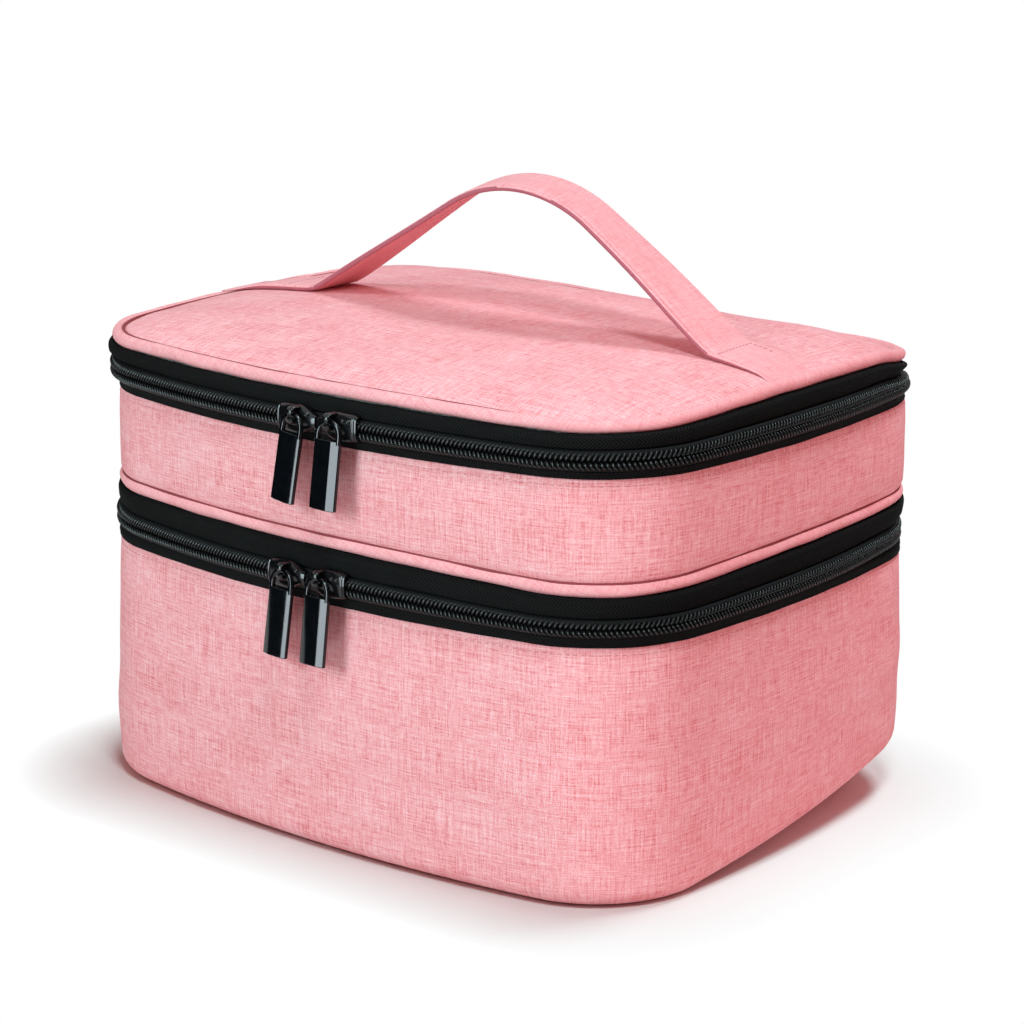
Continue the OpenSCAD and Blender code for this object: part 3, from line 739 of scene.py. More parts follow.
def wavering(seed, size=0.12):
    """A slight unevenness of a sewn roll or edge."""

    def shape(s, out, up):
        s = np.broadcast_to(s, out.shape)
        points = np.stack([s, out * 3, up * 3], -1)
        return out + waves(points, 24, seed) * size, up + waves(points, 31, seed + 1) * size

    return shape


def pipings():
    """The rolled edges at the foot of the tray and of the lid."""
    for body, z0, seed in (("tray", TRAY_Z, 11), ("lid", LID_Z, 15)):
        section = piping_section(z0)
        piece = carried(f"{body}_piping_roll", section, pitch=2.5, shape=wavering(seed), sharp=60)
        dressed(piece, PINK_EDGE, body, "pink_piping", f"{body}_piping")


# The lid's cloth is this far under the lid's top where the crown starts, at its rim
LID_RIM_SINK = 1.45


def lid_crown(x, y):
    """How far the padded lid stands up at (x, y), with its faint wrinkles."""
    inside = np.clip(depth_inside(x, y) + PANEL_IN, 0, None)
    crown = 7.8 * (1 - np.exp(-inside / 31)) + 1.2 * (1 - np.exp(-inside / 3.2))
    points = np.stack([x * 0.45, y, y * 0], -1)
    ripple = waves(points, 34, 21) * 0.25 + waves(points, 17, 22) * 0.1
    return crown + ripple * np.clip(inside / 12, 0, 1)


def lid_face(x, y):
    """Height of the lid's cloth at (x, y)."""
    spots = np.stack([x, y, LID_TOP_Z - LID_RIM_SINK + lid_crown(x, y)], -1)
    return settled(spots)[..., 2]


def lid():
    """The lid's padded cover over its board and foam."""
    z0, z1 = LID_TOP_Z - 2.6, LID_TOP_Z - LID_RIM_SINK
    cover = flat_pad("lid_cover_cloth", PANEL_IN + 0.9, z0, z1, 0.55, top=lid_crown, step=3.0)
    dressed(cover, PINK_CLOTH, "lid", "pink_cloth", "lid_cover")
    board = flat_pad("lid_stiff_board", PANEL_IN, LID_Z, LID_Z + 2.3, 0.2, step=8.0)
    dressed(board, BOARD, "lid", "stiff_board", "lid_board")
    foam = flat_pad("lid_foam_pad", PANEL_IN, LID_Z - 3.0, LID_Z - LAYER_GAP, 0.8, step=8.0)
    dressed(foam, FOAM, "lid", "foam", "lid_foam")


def linings():
    """The dark cloth inside the lower box, the tray and the lid."""

    def quilted(x, y):
        points = np.stack([x, y, x * 0], -1)
        return waves(points, 40, 33) * 0.12

    walls = (
        ("lower", "lower_box", BOTTOM_EDGE_R, LOWER_WALL_TOP, 31, 0.0856),
        ("tray", "tray", TRAY_Z + PIPING_W + LAYER_GAP, TRAY_WALL_TOP, 32, 0.0341),
    )
    for part, body, z0, z1, seed, height in walls:
        section = soft_block(LINING_BACK, LINING_IN, z0, z1, 0.3, 5)
        piece = carried(f"{part}_lining_cloth", section, shape=wavering(seed, 0.15))
        dressed(piece, LINING, body, "lining_cloth", f"{part}_lining")
    floors = (
        ("lower_floor_cloth", "lower_box", "lower_floor_lining", LINING_BACK + 0.35, 6.7, FLOOR_Z),
        ("tray_floor_lining_cloth", "tray", "tray_floor_lining", LINING_BACK + 0.35, 114.15, 114.95),
        ("lid_lining_cloth", "lid", "lid_lining", -1.7, 160.1, 160.9),
    )
    for name, body, node, out, low, high in floors:
        piece = flat_pad(name, out, low, high, 0.35, top=quilted, low=quilted, step=5.0)
        dressed(piece, LINING, body, "lining_cloth", node)
        width, depth = (CASE_W + 2 * out) * MM, (CASE_D + 2 * out) * MM
        0.93 * width * depth


def floors():
    """The cloth under the lower box and under the tray."""

    def hollow(x, y):
        inside = np.clip(depth_inside(x, y) - BOTTOM_EDGE_R, 0, None)
        ripple = waves(np.stack([x, y, x * 0], -1), 50, 41) * 0.1
        return 0.5 * (1 - np.exp(-inside / 14)) + ripple * np.clip(inside / 9, 0, 1)

    base = flat_pad("base_cloth", -BOTTOM_EDGE_R - LAYER_GAP, 0.02, 4.0, 0.5, low=hollow, step=4.0)
    dressed(base, PINK_CLOTH, "lower_box", "pink_cloth", "lower_base")
    tray = flat_pad("tray_floor_cloth", PANEL_IN, TRAY_Z, 111.7, 0.4, step=5.0)
    dressed(tray, LINING, "tray", "pink_cloth", "tray_floor")


def bindings():
    """Ribbed tape over the raw edges inside."""
    lower_z, tray_z = LOWER_WALL_TOP + 0.1, TRAY_WALL_TOP + 0.1
    rows = (
        ("lower_rim_binding", "lower_box", LINING_BACK - 0.1, -0.2, lower_z, lower_z + 0.8),
        ("tray_rim_binding", "tray", LINING_BACK - 0.1, -0.2, tray_z, tray_z + 0.8),
        ("tray_floor_binding", "tray", -1.5, 0, LOWER_ZIP_Z + 3.65, TRAY_Z - 0.1),
        ("lid_binding", "lid", -1.5, 0, UPPER_ZIP_Z + 3.65, LID_Z - 0.1),
    )
    for node, body, out0, out1, z0, z1 in rows:
        piece = carried(f"{node}_tape", soft_block(out0, out1, z0, z1, 0.4, 2.0), shape=wavering(51, 0.05))
        dressed(piece, BINDING, body, "binding_tape", node)


# ---- zips
# Each zip's tier, middle, lower and upper edge, and the bodies on its two sides
ZIPS = (
    ("lower", LOWER_ZIP_Z, LOWER_BAND_Z, TRAY_Z, "lower_box", "tray"),
    ("upper", UPPER_ZIP_Z, UPPER_BAND_Z, LID_Z, "tray", "lid"),
)
HINGE_LAP = 0.6


def zip_tapes(label, zip_z, low_z, high_z, low_body, high_body):
    """The flat tape under a zip's rows and the rolled one over them."""
    row_low, row_high = zip_z - COIL_H / 2, zip_z + COIL_H / 2
    inner, outer = TAPE_OFF, TAPE_OFF + TAPE_T
    low = (
        [(0.15, low_z + 0.15), (0.5, low_z), (0.95, low_z + 0.15)]
        + line((1.0, low_z + 0.8), (2.3, row_low - 0.35), 4)
        + [(2.3, row_low - 0.3), (2.15, row_low - 0.1), (outer, row_low - 0.1), (outer, zip_z - 0.8)]
        + [(inner, zip_z - 0.8), (inner, row_low - 0.3), (0.15, row_low - 0.6)]
    )
    piece = carried(f"{label}_lower_tape_cloth", low, ZIP_START_S, ZIP_END_S, 2.5, wavering(61, 0.06), 60)
    dressed(piece, TAPE, low_body, "zip_tape", f"{label}_lower_tape")
    z0, z1 = row_high + 0.1, high_z - 0.1
    roll = (
        [(inner, zip_z + 0.8), (outer, zip_z + 0.8), (outer, z0 + 0.25)]
        + bend((BAND_OUT - 0.9, z0 + 0.95), 0.9, 250, 350, 5)
        + [(BAND_OUT + 0.12, z0 + (z1 - z0) * 0.4), (BAND_OUT + 0.1, z0 + (z1 - z0) * 0.62)]
        + bend((BAND_OUT - 1.5, z1 - 1.5), 1.5, 8, 90, 6)
        + [(inner, z1)]
    )
    piece = carried(f"{label}_upper_tape_cloth", roll, ZIP_START_S, ZIP_END_S, 2.5, wavering(63, 0.1), 60)
    dressed(piece, TAPE, high_body, "zip_tape", f"{label}_upper_tape")


def coil_rows(label, zip_z, low_body, high_body):
    """Each row's turns lean away from the middle line, over a core that closes the gaps between them."""
    turn = [
        (-0.25, 2.7, 0.3), (-0.2, 3.85, 0.5), (0.0, 4.3, 0.95), (0.3, 4.45, 1.55),
        (0.75, 4.2, 2.2), (1.15, 3.5, 2.75), (1.35, 2.5, 3.05),
    ]
    radii = [0.31, 0.36, 0.38, 0.38, 0.37, 0.34, 0.3]
    start, end = ZIP_START_S + 1.5, ZIP_END_S - 1.5
    count = int((end - start) / COIL_PITCH)
    for side, body, part in ((1, high_body, "upper"), (-1, low_body, "lower")):
        s = start + COIL_PITCH * (np.arange(count) + (0.5 if side < 0 else 0.0))
        verts, faces = bead([(a, o, side * z) for a, o, z in turn], radii, 8, (1.0, 1.2))
        if side < 0:
            faces = [f[::-1] for f in faces]
        spots, frames = wall_frames(s, 0, zip_z)
        turns = repeated(f"{label}_{part}_turns", spots, frames, verts, faces)
        dressed(turns, COIL, body, "zip_coil")
        z0, z1 = sorted((zip_z + side * 0.3, zip_z + side * 3.75))
        core = carried(f"{label}_{part}_core", soft_block(1.3, 3.7, z0, z1, 1.2, 2.0), start, end, 2.5)
        dressed(core, COIL_CORD, body, "zip_coil", f"{label}_{part}_coil")
        loop = [(-0.28, 2.5, 3.45 * side), (0.0, 2.75, 3.5 * side), (0.28, 2.5, 3.55 * side)]
        loops, loop_faces = bead(loop, [0.2, 0.3, 0.2], 6)
        spots, frames = wall_frames(s + 1.45, 0, zip_z)
        threads = repeated(f"{label}_{part}_coil_thread", spots, frames, loops, loop_faces)
        dressed(threads, BLACK_THREAD, body, "zip_coil")


def hinge_cloths():
    """A strip of cloth across each fold at the back."""
    for tier, zip_z, z0, z1, low_body, high_body in ZIPS:
        n = 22
        ups = np.linspace(z0 + 0.2, z1 - 0.2, n)
        swell = np.sin(math.pi * np.linspace(0, 1, n)) * 0.5
        fold = -0.35 * np.exp(-(((ups - zip_z) / 1.6) ** 2))
        face = [(1.3 + a + b, z) for z, a, b in zip(ups, swell, fold)]
        back = [(0.15 + a * 0.6, z) for z, a in zip(ups[::-1], swell[::-1])]
        start, end = ZIP_END_S - HINGE_LAP, ROUND_L + ZIP_START_S + HINGE_LAP
        piece = carried(f"{tier}_hinge_strip", face + back, start, end, 3.0, wavering(71, 0.1), 60)
        piece.data.materials.append(HINGE_CLOTH)
        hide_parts(f"{tier}_hinge_cloth_bottom", f"{tier}_hinge_cloth_top")
        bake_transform(piece)


# ---- sewing
STITCH_L, STITCH_R, STITCH_PITCH, STITCH_SINK = 1.8, 0.2, 2.7, 0.06


def stitched(name, body, up, swell):
    """A row of stitches round the case at height up, on the face that a wall's swell gives."""
    path = [(x, -0.12 * abs(x / STITCH_L * 2) ** 3, 0) for x in np.linspace(-STITCH_L / 2, STITCH_L / 2, 5)]
    verts, faces = bead(path, STITCH_R * np.array([0.6, 1, 1, 1, 0.6]), 6)
    s = np.arange(0, ROUND_L, STITCH_PITCH)
    face, _ = swell(s[:, None], np.zeros((len(s), 1)), np.full((len(s), 1), up))
    spots, frames = wall_frames(s, face - STITCH_SINK, up)
    dressed(repeated(name, spots, frames, verts, faces), PINK_THREAD, body, "pink_cloth")


def seams():
    """Rows of stitches below each zip, and dark strips of painted shade in the grooves beside the tray's and the
    lid's piping.
    """
    stitched("lower_wall_stitches", "lower_box", LOWER_BAND_Z - 2.6, LOWER_SWELL)
    stitched("tray_wall_stitches", "tray", UPPER_BAND_Z - 2.6, TRAY_SWELL)
    # A dark strip in the groove above the tray's piping, as painted shade
    z = TRAY_Z + PIPING_W
    section = soft_block(-2.2, -0.3, z - 0.85, z + 0.25, 0.3)
    groove = carried("tray_piping_painted_shade", section, shape=wavering(81, 0.05))
    dressed(groove, PAINTED_SEAM_SHADE, "tray", "pink_piping")

    def sunk(s, out, up):
        """Lets the lid's strip of painted shade sink under the cloth towards the right."""
        foot, _ = places(np.ravel(s))
        return out, up + 0.45 - 1.2 * eased((foot[:, :1] - 70) / 50)

    # A dark strip between the lid's piping and its cover, as painted shade
    section = soft_block(-4.2, -3.0, LID_TOP_Z - 2.4, LID_TOP_Z - 1.05, 0.3)
    groove = carried("lid_piping_painted_shade", section, shape=sunk)
    dressed(groove, PAINTED_SEAM_SHADE, "lid", "pink_piping")


# ---- strap
def strap_line():
    """The strap's middle line in the plane of the case's width, as x and height."""

    def rise_angle(span):
        """The slope of the straight run between the arch and a foot."""
        r = STRAP_TOP_R + STRAP_FOOT_R
        over = STRAP_RISE - r
        return math.atan2(over, span) + math.asin(r / math.hypot(span, over))

    def half(span, end):
        """One side from the arch's top, whose foot ends at the given x."""
        slope = rise_angle(span)
        turns = np.linspace(0, slope, 15)
        points = [(STRAP_TOP_R * math.sin(a), STRAP_RISE - STRAP_TOP_R * (1 - math.cos(a))) for a in turns]
        foot = [(span - STRAP_FOOT_R * math.sin(a), STRAP_FOOT_R * (1 - math.cos(a))) for a in turns[::-1]]
        top_end, foot_end = np.array(points[-1]), np.array(foot[0])
        mid = [tuple(top_end * (1 - t) + foot_end * t) for t in np.linspace(0, 1, 22)[1:-1]]
        return points + mid + foot + [(x, 0) for x in np.linspace(span, end, 9)[1:]]

    right = half(STRAP_RIGHT - STRAP_TOP_X, STRAP_END_X - STRAP_TOP_X)
    left = half(STRAP_LEFT + STRAP_TOP_X, STRAP_END_X + STRAP_TOP_X)
    middle = np.array([(-x, z) for x, z in left[:0:-1]] + right)
    return middle + (STRAP_TOP_X, LID_TOP_Z + LAYER_GAP + STRAP_T / 2)


def strap_heights(x, y, z):
    """The higher of the strap's own line and the domed lid's cloth, with a soft turn where they meet."""
    sewn = 0.5 * eased((x - 108) / 18) * eased((y + 9) / 18)
    rest = lid_face(x, y) + 0.1 + STRAP_T / 2 * strap_share(x) - sewn
    own = z - 0.7 + 1.3 * np.exp(-(((x - 68) / 24) ** 2))
    over = (own + rest + np.sqrt((own - rest) ** 2 + 1.4)) / 2 - 0.1
    return over - 0.9 * eased((x - 122) / 6)


def strap_share(x):
    """The strap's thickness, thinner where its ends are sewn into the rim."""
    x = np.asarray(x)
    return 0.3 + 0.7 * eased((x + 124) / 18) * eased((130 - x) / 26)


def strap_net(section):
    """Points of the strap for a section of (across, up) points, and its slope along its length."""
    x, z = strap_line().T
    arch = eased((z - LID_TOP_Z - 10) / 42)
    middle = strap_heights(x, x * 0, z)
    slope = np.arctan2(-np.gradient(middle), np.gradient(x))
    across, up = np.asarray(section, float).T
    steps = (values[:, None] for values in (x, z, arch, slope))
    x, z, arch, turn, across = np.broadcast_arrays(*steps, across)
    side = across / (STRAP_W / 2)
    high = strap_heights(x, across, z) + 0.5 * side * arch
    lift = up * strap_share(x)
    along = x - STRAP_SKEW * side * arch
    return np.stack([along + lift * np.sin(turn), across, high + lift * np.cos(turn)], -1), slope


STRAP_HALF_T = STRAP_T / 2 * 0.85


def strap():
    """The carry strap: two rows of sewing press a groove along its edges."""
    half_w, thick, r = STRAP_W / 2, STRAP_HALF_T, 0.8
    near = [-half_w + r, -half_w + 1.7, -half_w + 2.2, -half_w + 2.8, -8, -4]
    ys = np.array(near + [0] + [-y for y in near[::-1]])
    groove = np.array([0, 0.03, -0.34, 0.06, 0.1, 0.12, 0.13, 0.12, 0.1, 0.08, 0.04, 0.03, 0])
    turns = np.radians(np.linspace(-75, 75, 6))
    round_edge = [(half_w - r + r * math.cos(a), thick * math.sin(a)) for a in turns]
    under = [(y, -thick - g) for y, g in zip(ys[::-1], groove[::-1])]
    over = [(y, thick + g) for y, g in zip(ys, groove)]
    section = np.array(under + [(-y, z) for y, z in round_edge] + over + [(y, -z) for y, z in round_edge])
    net, _ = strap_net(section)
    around = lengths(np.concatenate([section, section[:1]]))
    piece = netted("carry_strap", net, lengths(net[:, 0]), around, (False, True), True, 60)
    dressed(piece, PINK_STRAP, "lid", "pink_webbing", "handle_strap")
    # The near edge's lower faces take the dark rose colour as painted shade
    piece.data.materials.append(ROSE_THREAD_AND_EDGE_SHADE)
    for face in piece.data.polygons:
        if face.center.y < -(half_w - 0.42) * MM and face.normal.z < 0.4:
            face.material_index = 1


def strap_stitches():
    """Three rows of stitches across the strap's feet, and a short one along the right foot."""
    lines, slope = strap_net([(y, STRAP_HALF_T + 0.05) for y in np.linspace(-9, 9, 10)])
    spots, frames = [], []

    def add(x, k, along):
        row = lines[:, k]
        a = np.interp(x, row[:, 0], slope)
        up = np.array([math.sin(a), 0, math.cos(a)])
        ahead = np.array([math.cos(a), 0, -math.sin(a)])
        across = np.array([0, 1.0, 0])
        spots.append([np.interp(x, row[:, 0], row[:, c]) for c in range(3)])
        frames.append([ahead, across, up] if along else [across, -ahead, up])

    for x in (-STRAP_LEFT - 13.0, -STRAP_LEFT + 1.0, 104.5):
        for k in range(10):
            add(x, k, False)
    for x in (106.5, 108.6, 110.7, 112.8):
        add(x, 9, True)
    form = [(x, 0, -0.1 * abs(x) ** 3) for x in np.linspace(-0.9, 0.9, 5)]
    verts, faces = bead(form, [0.13, 0.2, 0.2, 0.2, 0.13], 6)
    piece = repeated("strap_stitches", np.array(spots), np.array(frames), verts, faces, soft=False)
    dressed(piece, ROSE_THREAD_AND_EDGE_SHADE, "lid", "pink_webbing")


# ---- dividers
def padded_board(name, low, high, node):
    """A padded divider between two corners: round edges and faces that swell between pinched ends."""
    size, mid = high - low, (low + high) / 2
    long_axis = int(size[1] > size[0])
    length, thick = size[long_axis], size[1 - long_axis]
    section = np.array(soft_block(-thick / 2, thick / 2, low[2], high[2], 2.2, 4))
    n = max(8, int(length / 5))
    net = np.empty((n + 1, len(section), 3))
    for k in range(n + 1):
        at = -length / 2 + length * k / n
        pinch = 1 - 0.55 * math.exp(-min(k, n - k) / 0.7)
        up = section[:, 1]
        swell = 1 + 0.06 * np.sin((up - low[2]) / size[2] * math.pi) + 0.03 * math.sin(at / 9)
        across = section[:, 0] * swell * pinch
        net[k, :, long_axis] = mid[long_axis] + at
        net[k, :, 1 - long_axis] = mid[1 - long_axis] + (across if long_axis else -across)
        net[k, :, 2] = up
    around = lengths(np.concatenate([section, section[:1]]))
    piece = netted(name, settled(net), np.linspace(0, length, n + 1), around, (False, True), True, 60)
    dressed(piece, DIVIDER, "lower_box", "divider_cloth", node)


def dividers():
    """One long divider and four cross ones, each in its own solid's box."""
    for part in ("long", "front_left", "front_right", "back_left", "back_right"):
        low, high = (np.array(c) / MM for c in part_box(f"divider_{part}"))
        padded_board(f"padded_divider_{part}", low, high, f"divider_{part}")


# ---- sliders and pulls
def front_frame(x, z):
    """A frame on the front's bow: its origin and the directions along, outward and up."""
    angle = x / FRONT_BOW_R
    along = np.array([math.cos(angle), math.sin(angle), 0])
    outward = np.array([math.sin(angle), -math.cos(angle), 0])
    centre = np.array([0, FRONT_BOW_R - CASE_D / 2, z])
    return centre + outward * FRONT_BOW_R, along, outward, np.array([0, 0, 1.0])


def placed(verts, spot):
    """Points of a form in such a frame, in the case's own."""
    origin, along, outward, up = spot
    return origin + verts[:, :1] * along + verts[:, 1:2] * outward + verts[:, 2:3] * up


def joined(parts):
    """Several (points, faces) as one."""
    verts, faces, base = [], [], 0
    for points, some in parts:
        verts.append(points)
        faces += [[v + base for v in f] for f in some]
        base += len(points)
    return np.concatenate(verts), faces


def bevelled(points, faces, width):
    """Rounds the edges of a plain form."""
    form = bmesh.new()
    verts = [form.verts.new(p) for p in points]
    for f in faces:
        form.faces.new([verts[k] for k in f])
    bmesh.ops.recalc_face_normals(form, faces=form.faces)
    sharp = [e for e in form.edges if e.calc_face_angle(0) > math.radians(8)]
    bmesh.ops.bevel(
        form, geom=sharp, offset=width, offset_type="OFFSET", segments=3, profile=0.5, affect="EDGES",
        clamp_overlap=True,
    )
    form.verts.index_update()
    made = np.array([v.co[:] for v in form.verts])
    some = [[v.index for v in f.verts] for f in form.faces]
    form.free()
    return made, some


# The crowned plate's section as (height, outward), over the top and back under it
PLATE = (
    (-4.9, 3.1), (-5.0, 4.4), (-4.6, 5.6), (-3.6, 6.25), (-1.8, 6.5), (0, 6.56), (1.8, 6.5), (3.6, 6.25),
    (4.6, 5.6), (5.0, 4.4), (4.9, 3.1), (4.45, 3.1), (4.3, 4.3), (3.9, 5.1), (0, 5.15), (-3.9, 5.1),
    (-4.3, 4.3), (-4.45, 3.1),
)
# A box whose corners run over x, then outward, then height
BOX_FACES = [[0, 1, 3, 2], [4, 6, 7, 5], [0, 4, 5, 1], [2, 3, 7, 6], [0, 2, 6, 4], [1, 5, 7, 3]]


def slider_form(way):
    """A slider's plates, web, bail, lip and studs. way is 1 where its tail points right."""
    nose, tail = -BAIL_X, SLIDER_L - BAIL_X
    xs = np.linspace(nose, tail, 18)
    net = np.empty((len(xs), len(PLATE), 3))
    for k, x in enumerate(xs):
        t = (x - nose) / (tail - nose)
        width = 0.46 + 0.54 * float(eased(t / 0.5)) - 0.12 * t**3
        end = min(x - nose, tail - x)
        dip = 0.5 * math.exp(-end / 0.9)
        for m, (z, o) in enumerate(PLATE):
            shrink = width * (1 - 0.10 * math.exp(-end / 0.8)) * 1.04
            net[k, m] = (x * way, o - dip * (o > 5.3), z * shrink + PLATE_RISE)
    rows, cols = net.shape[:2]
    faces = tube_faces(rows, cols)
    if way < 0:
        faces = [f[::-1] for f in faces]
    ends = [[base + j for j in range(cols)] for base in (0, (rows - 1) * cols)]
    plate = (net.reshape(-1, 3), faces + ends)

    def block(xs, outs, half_z, width):
        points = [(x * way, o, z) for x in xs for o in outs for z in (-half_z, half_z)]
        return bevelled(np.array(points), BOX_FACES, width)

    rear = block((nose + 0.6, tail - 0.6), (-1.0, 0.2), 3.1, 0.45)
    web = block((nose + 0.8, nose + 5.6), (0.0, 5.4), 0.5, 0.2)
    z, leg, out, turn, wire = BAIL_Z, BAIL_LEG, BAIL_MID, 1.4, 0.6
    staple = [(0, 5.9, z + leg), (0, 7.6, z + leg), (0, 9.0, z + leg)]
    for a in np.radians([80, 60, 40, 20, 0]):
        staple.append((0, out - turn + turn * math.cos(a), z + leg - turn + turn * math.sin(a)))
    staple += [(0, y, 2 * z - h) for _, y, h in staple[::-1]]
    bail, bail_faces = bead(staple, wire, 12)
    bail[:, 0] *= 1.4 / wire
    rim = [(5.6, -3.7), (6.2, -2.6), (6.45, 0), (6.2, 2.6), (5.6, 3.7)]
    lip = bead([((tail - 0.9) * way, o, z + PLATE_RISE) for o, z in rim], 0.42, 8)
    studs = []
    for x in (4.4,) if way < 0 else (4.2, 6.6):
        stud = [(x, o, BAIL_Z + 0.2) for o in (6.0, 6.5, 6.9, 7.15)]
        studs.append(bead(stud, [0.95, 0.9, 0.65, 0.3], 12))
    return joined([plate, rear, web, (bail, bail_faces), lip] + studs)


def pull_form():
    """A pull with its loop's cross bar at the origin, hanging down, its face outward."""
    outer, top, back = PULL_W / 2, -LOOP_HOLE_H, -LOOP_T / 2
    low = top - (PULL_L - LOOP_T / 2 - LOOP_HOLE_H)
    mid, front = LOOP_T / 4, PULL_T / 2
    flat = PULL_FLAT_W / 2
    slope = [(outer, mid), (outer - 1.1, mid + 0.425), (outer - 2.2, mid + 0.725), (flat, front)]
    ring = [(-outer, back), (outer, back)] + slope + [(-x, o) for x, o in slope[::-1]]
    verts = np.array([(x, o, z) for z in (low, top) for x, o in ring])
    n = len(ring)
    faces = [list(range(n)), list(range(2 * n - 1, n - 1, -1))]
    faces += [[k, (k + 1) % n, n + (k + 1) % n, n + k] for k in range(n)]
    bar = bevelled(verts, faces, 0.28)
    arch_z, r = LOOP_T / 2 - outer, outer - LOOP_SIDE / 2
    path = [(-r, 0, top - 1.2), (-r, 0, top), (-r, 0, arch_z - 0.4)]
    path += [(r * math.cos(a), 0, arch_z + r * math.sin(a)) for a in np.radians(np.linspace(180, 0, 19))]
    path += [(r, 0, arch_z - 0.4), (r, 0, top), (r, 0, top - 1.2)]
    path = np.array(path, float)
    ahead = np.gradient(path, axis=0)
    ahead /= np.linalg.norm(ahead, axis=1)[:, None]
    sides = 16
    loop = []
    for p, way in zip(path, ahead):
        across = np.array([way[2], 0, -way[0]])
        for k in range(sides):
            a = TURN * k / sides
            c, s = math.cos(a), math.sin(a)
            c, s = math.copysign(abs(c) ** 0.7, c), math.copysign(abs(s) ** 0.7, s)
            loop.append(p + across * c * LOOP_SIDE / 2 + np.array([0, 1, 0]) * s * LOOP_T / 2)
    m = len(path)
    faces = tube_faces(m, sides)
    faces += [list(range(sides))[::-1], [(m - 1) * sides + k for k in range(sides)]]
    return joined([bar, (np.array(loop), faces)])


# Edges sharper than this many degrees stay sharp, and faces larger than this, in square metres, look flat
SHARP_EDGE, FLAT_FACE = 38, 4e-5


def fixed_normals(piece):
    """Turns every face of a piece outward, and lets the large faces rule the shading."""
    form = bmesh.new()
    form.from_mesh(piece.data)
    bmesh.ops.recalc_face_normals(form, faces=form.faces)
    form.to_mesh(piece.data)
    form.free()
    mesh = piece.data
    mesh.shade_smooth()
    limit = math.cos(math.radians(SHARP_EDGE))
    around = [[] for _ in mesh.vertices]
    for face in mesh.polygons:
        for v in face.vertices:
            around[v].append((np.array(face.normal), face.area))
    ways = []
    for face in mesh.polygons:
        own = np.array(face.normal)
        if face.area > FLAT_FACE:
            ways += [tuple(own)] * len(face.vertices)
            continue
        for v in face.vertices:
            total = sum(way * area**1.5 for way, area in around[v] if way @ own > limit)
            ways.append(tuple(total / np.linalg.norm(total)))
    mesh.normals_split_custom_set(ways)


def rotated(a, b, angle):
    """Two coordinates after a turn from the first towards the second."""
    return a * math.cos(angle) - b * math.sin(angle), a * math.sin(angle) + b * math.cos(angle)


def sliders_and_pulls():
    """Two sliders on each zip, with pulls that hang a little out of true."""
    pull_verts, pull_faces = pull_form()
    lean = math.radians(PULL_LEAN)
    rows = (("upper", UPPER_ZIP_Z, UPPER_MEET_X), ("lower", LOWER_ZIP_Z, LOWER_MEET_X))
    for row, zip_z, meet in rows:
        for hand, way in (("left", -1), ("right", 1)):
            spot = front_frame(meet + way * (NOSE_GAP / 2 + BAIL_X), zip_z)
            verts, faces = slider_form(way)
            body = skin(f"zip_slider_{row}_{hand}", placed(verts, spot), faces)
            fixed_normals(body)
            dressed(body, SLIDER_BLACK, f"slider_{row}_{hand}", "slider_metal", f"slider_{row}_{hand}")
            turned, swing = (math.radians(a) for a in PULL_SETS[row, hand])
            x, o, z = pull_verts.T
            x, o = rotated(x, o, turned)
            x, z = rotated(x, z, swing)
            o, z = rotated(o, z, lean)
            hung = np.stack([x, o, z], -1) + np.array([0, PIVOT_OUT, BAIL_Z])
            pull = skin(f"zip_pull_{row}_{hand}", placed(hung, spot), pull_faces)
            fixed_normals(pull)
            dressed(pull, PULL_BLACK, f"pull_{row}_{hand}", "pull_metal", f"pull_{row}_{hand}")


# ---- room, lamps and camera
AMBIENT = (0.26, 0.15, 0.14)
WHITE = (1, 1, 1)
FLOOR_REACH, FLOOR_SINK = 6000, 0.3
# The lamps face this place in the case, in metres
AIM = Vector((0, 0, 0.09))


def looked_at(finish):
    """1 where the camera, a mirror or glass looks, and 0 for light."""
    rays = ("Is Camera Ray", "Is Glossy Ray", "Is Transmission Ray")
    eye, mirror, glass = (finish.node("LightPath", out=ray) for ray in rays)
    return eye.most(mirror).most(glass)


def white_floor():
    """A floor that keeps the case's shadow near it and is plain white further off."""
    corners = np.array([(-1, -1), (1, -1), (1, 1), (-1, 1)]) * FLOOR_REACH
    floor = skin("floor", np.concatenate([corners, np.full((4, 1), -FLOOR_SINK)], 1), [[0, 1, 2, 3]])
    finish = Finish("white_floor")
    beside = finish.node("VectorMath", {"operation": "ABSOLUTE"}, {0: finish.place()})
    inner = (CASE_W / 2 - CORNER_R, CASE_D / 2 - CORNER_R, 0)
    beyond = finish.node("VectorMath", {"operation": "SUBTRACT"}, {0: beside, 1: inner})
    past = finish.node("VectorMath", {"operation": "MAXIMUM"}, {0: beyond, 1: (0, 0, 0)})
    far = finish.node("VectorMath", {"operation": "LENGTH"}, {0: finish.scaled(past, (1, 1, 0))}, out=1)
    pale = finish.node("BsdfDiffuse", None, {"Color": (0.95, 0.87, 0.86, 1)})
    white = finish.node("Emission", None, {"Color": (*WHITE, 1), "Strength": 1.0})
    edge = finish.spread(far, CORNER_R - 5, CORNER_R + 32)
    seen = finish.node("MixShader", None, {0: edge, 1: pale, 2: white})
    surface = finish.node("MixShader", None, {0: looked_at(finish), 1: pale, 2: seen})
    finish.node("OutputMaterial", None, {"Surface": surface})
    floor.data.materials.append(finish.material)


def studio_world():
    """White where it is looked at, and a weak warm light on the case."""
    world = bpy.data.worlds.new("studio")
    bpy.context.scene.world = world
    finish = Finish("studio", world)
    level = finish.blended(looked_at(finish), AMBIENT, WHITE)
    finish.node("OutputWorld", None, {"Surface": finish.node("Background", None, {"Color": level})})


def towards(azimuth, elevation, far):
    """A place seen from the case. Azimuth 0 is in front and 90 on the right."""
    a, e = math.radians(azimuth), math.radians(elevation)
    return AIM + Vector((math.sin(a) * math.cos(e), -math.cos(a) * math.cos(e), math.sin(e))) * far


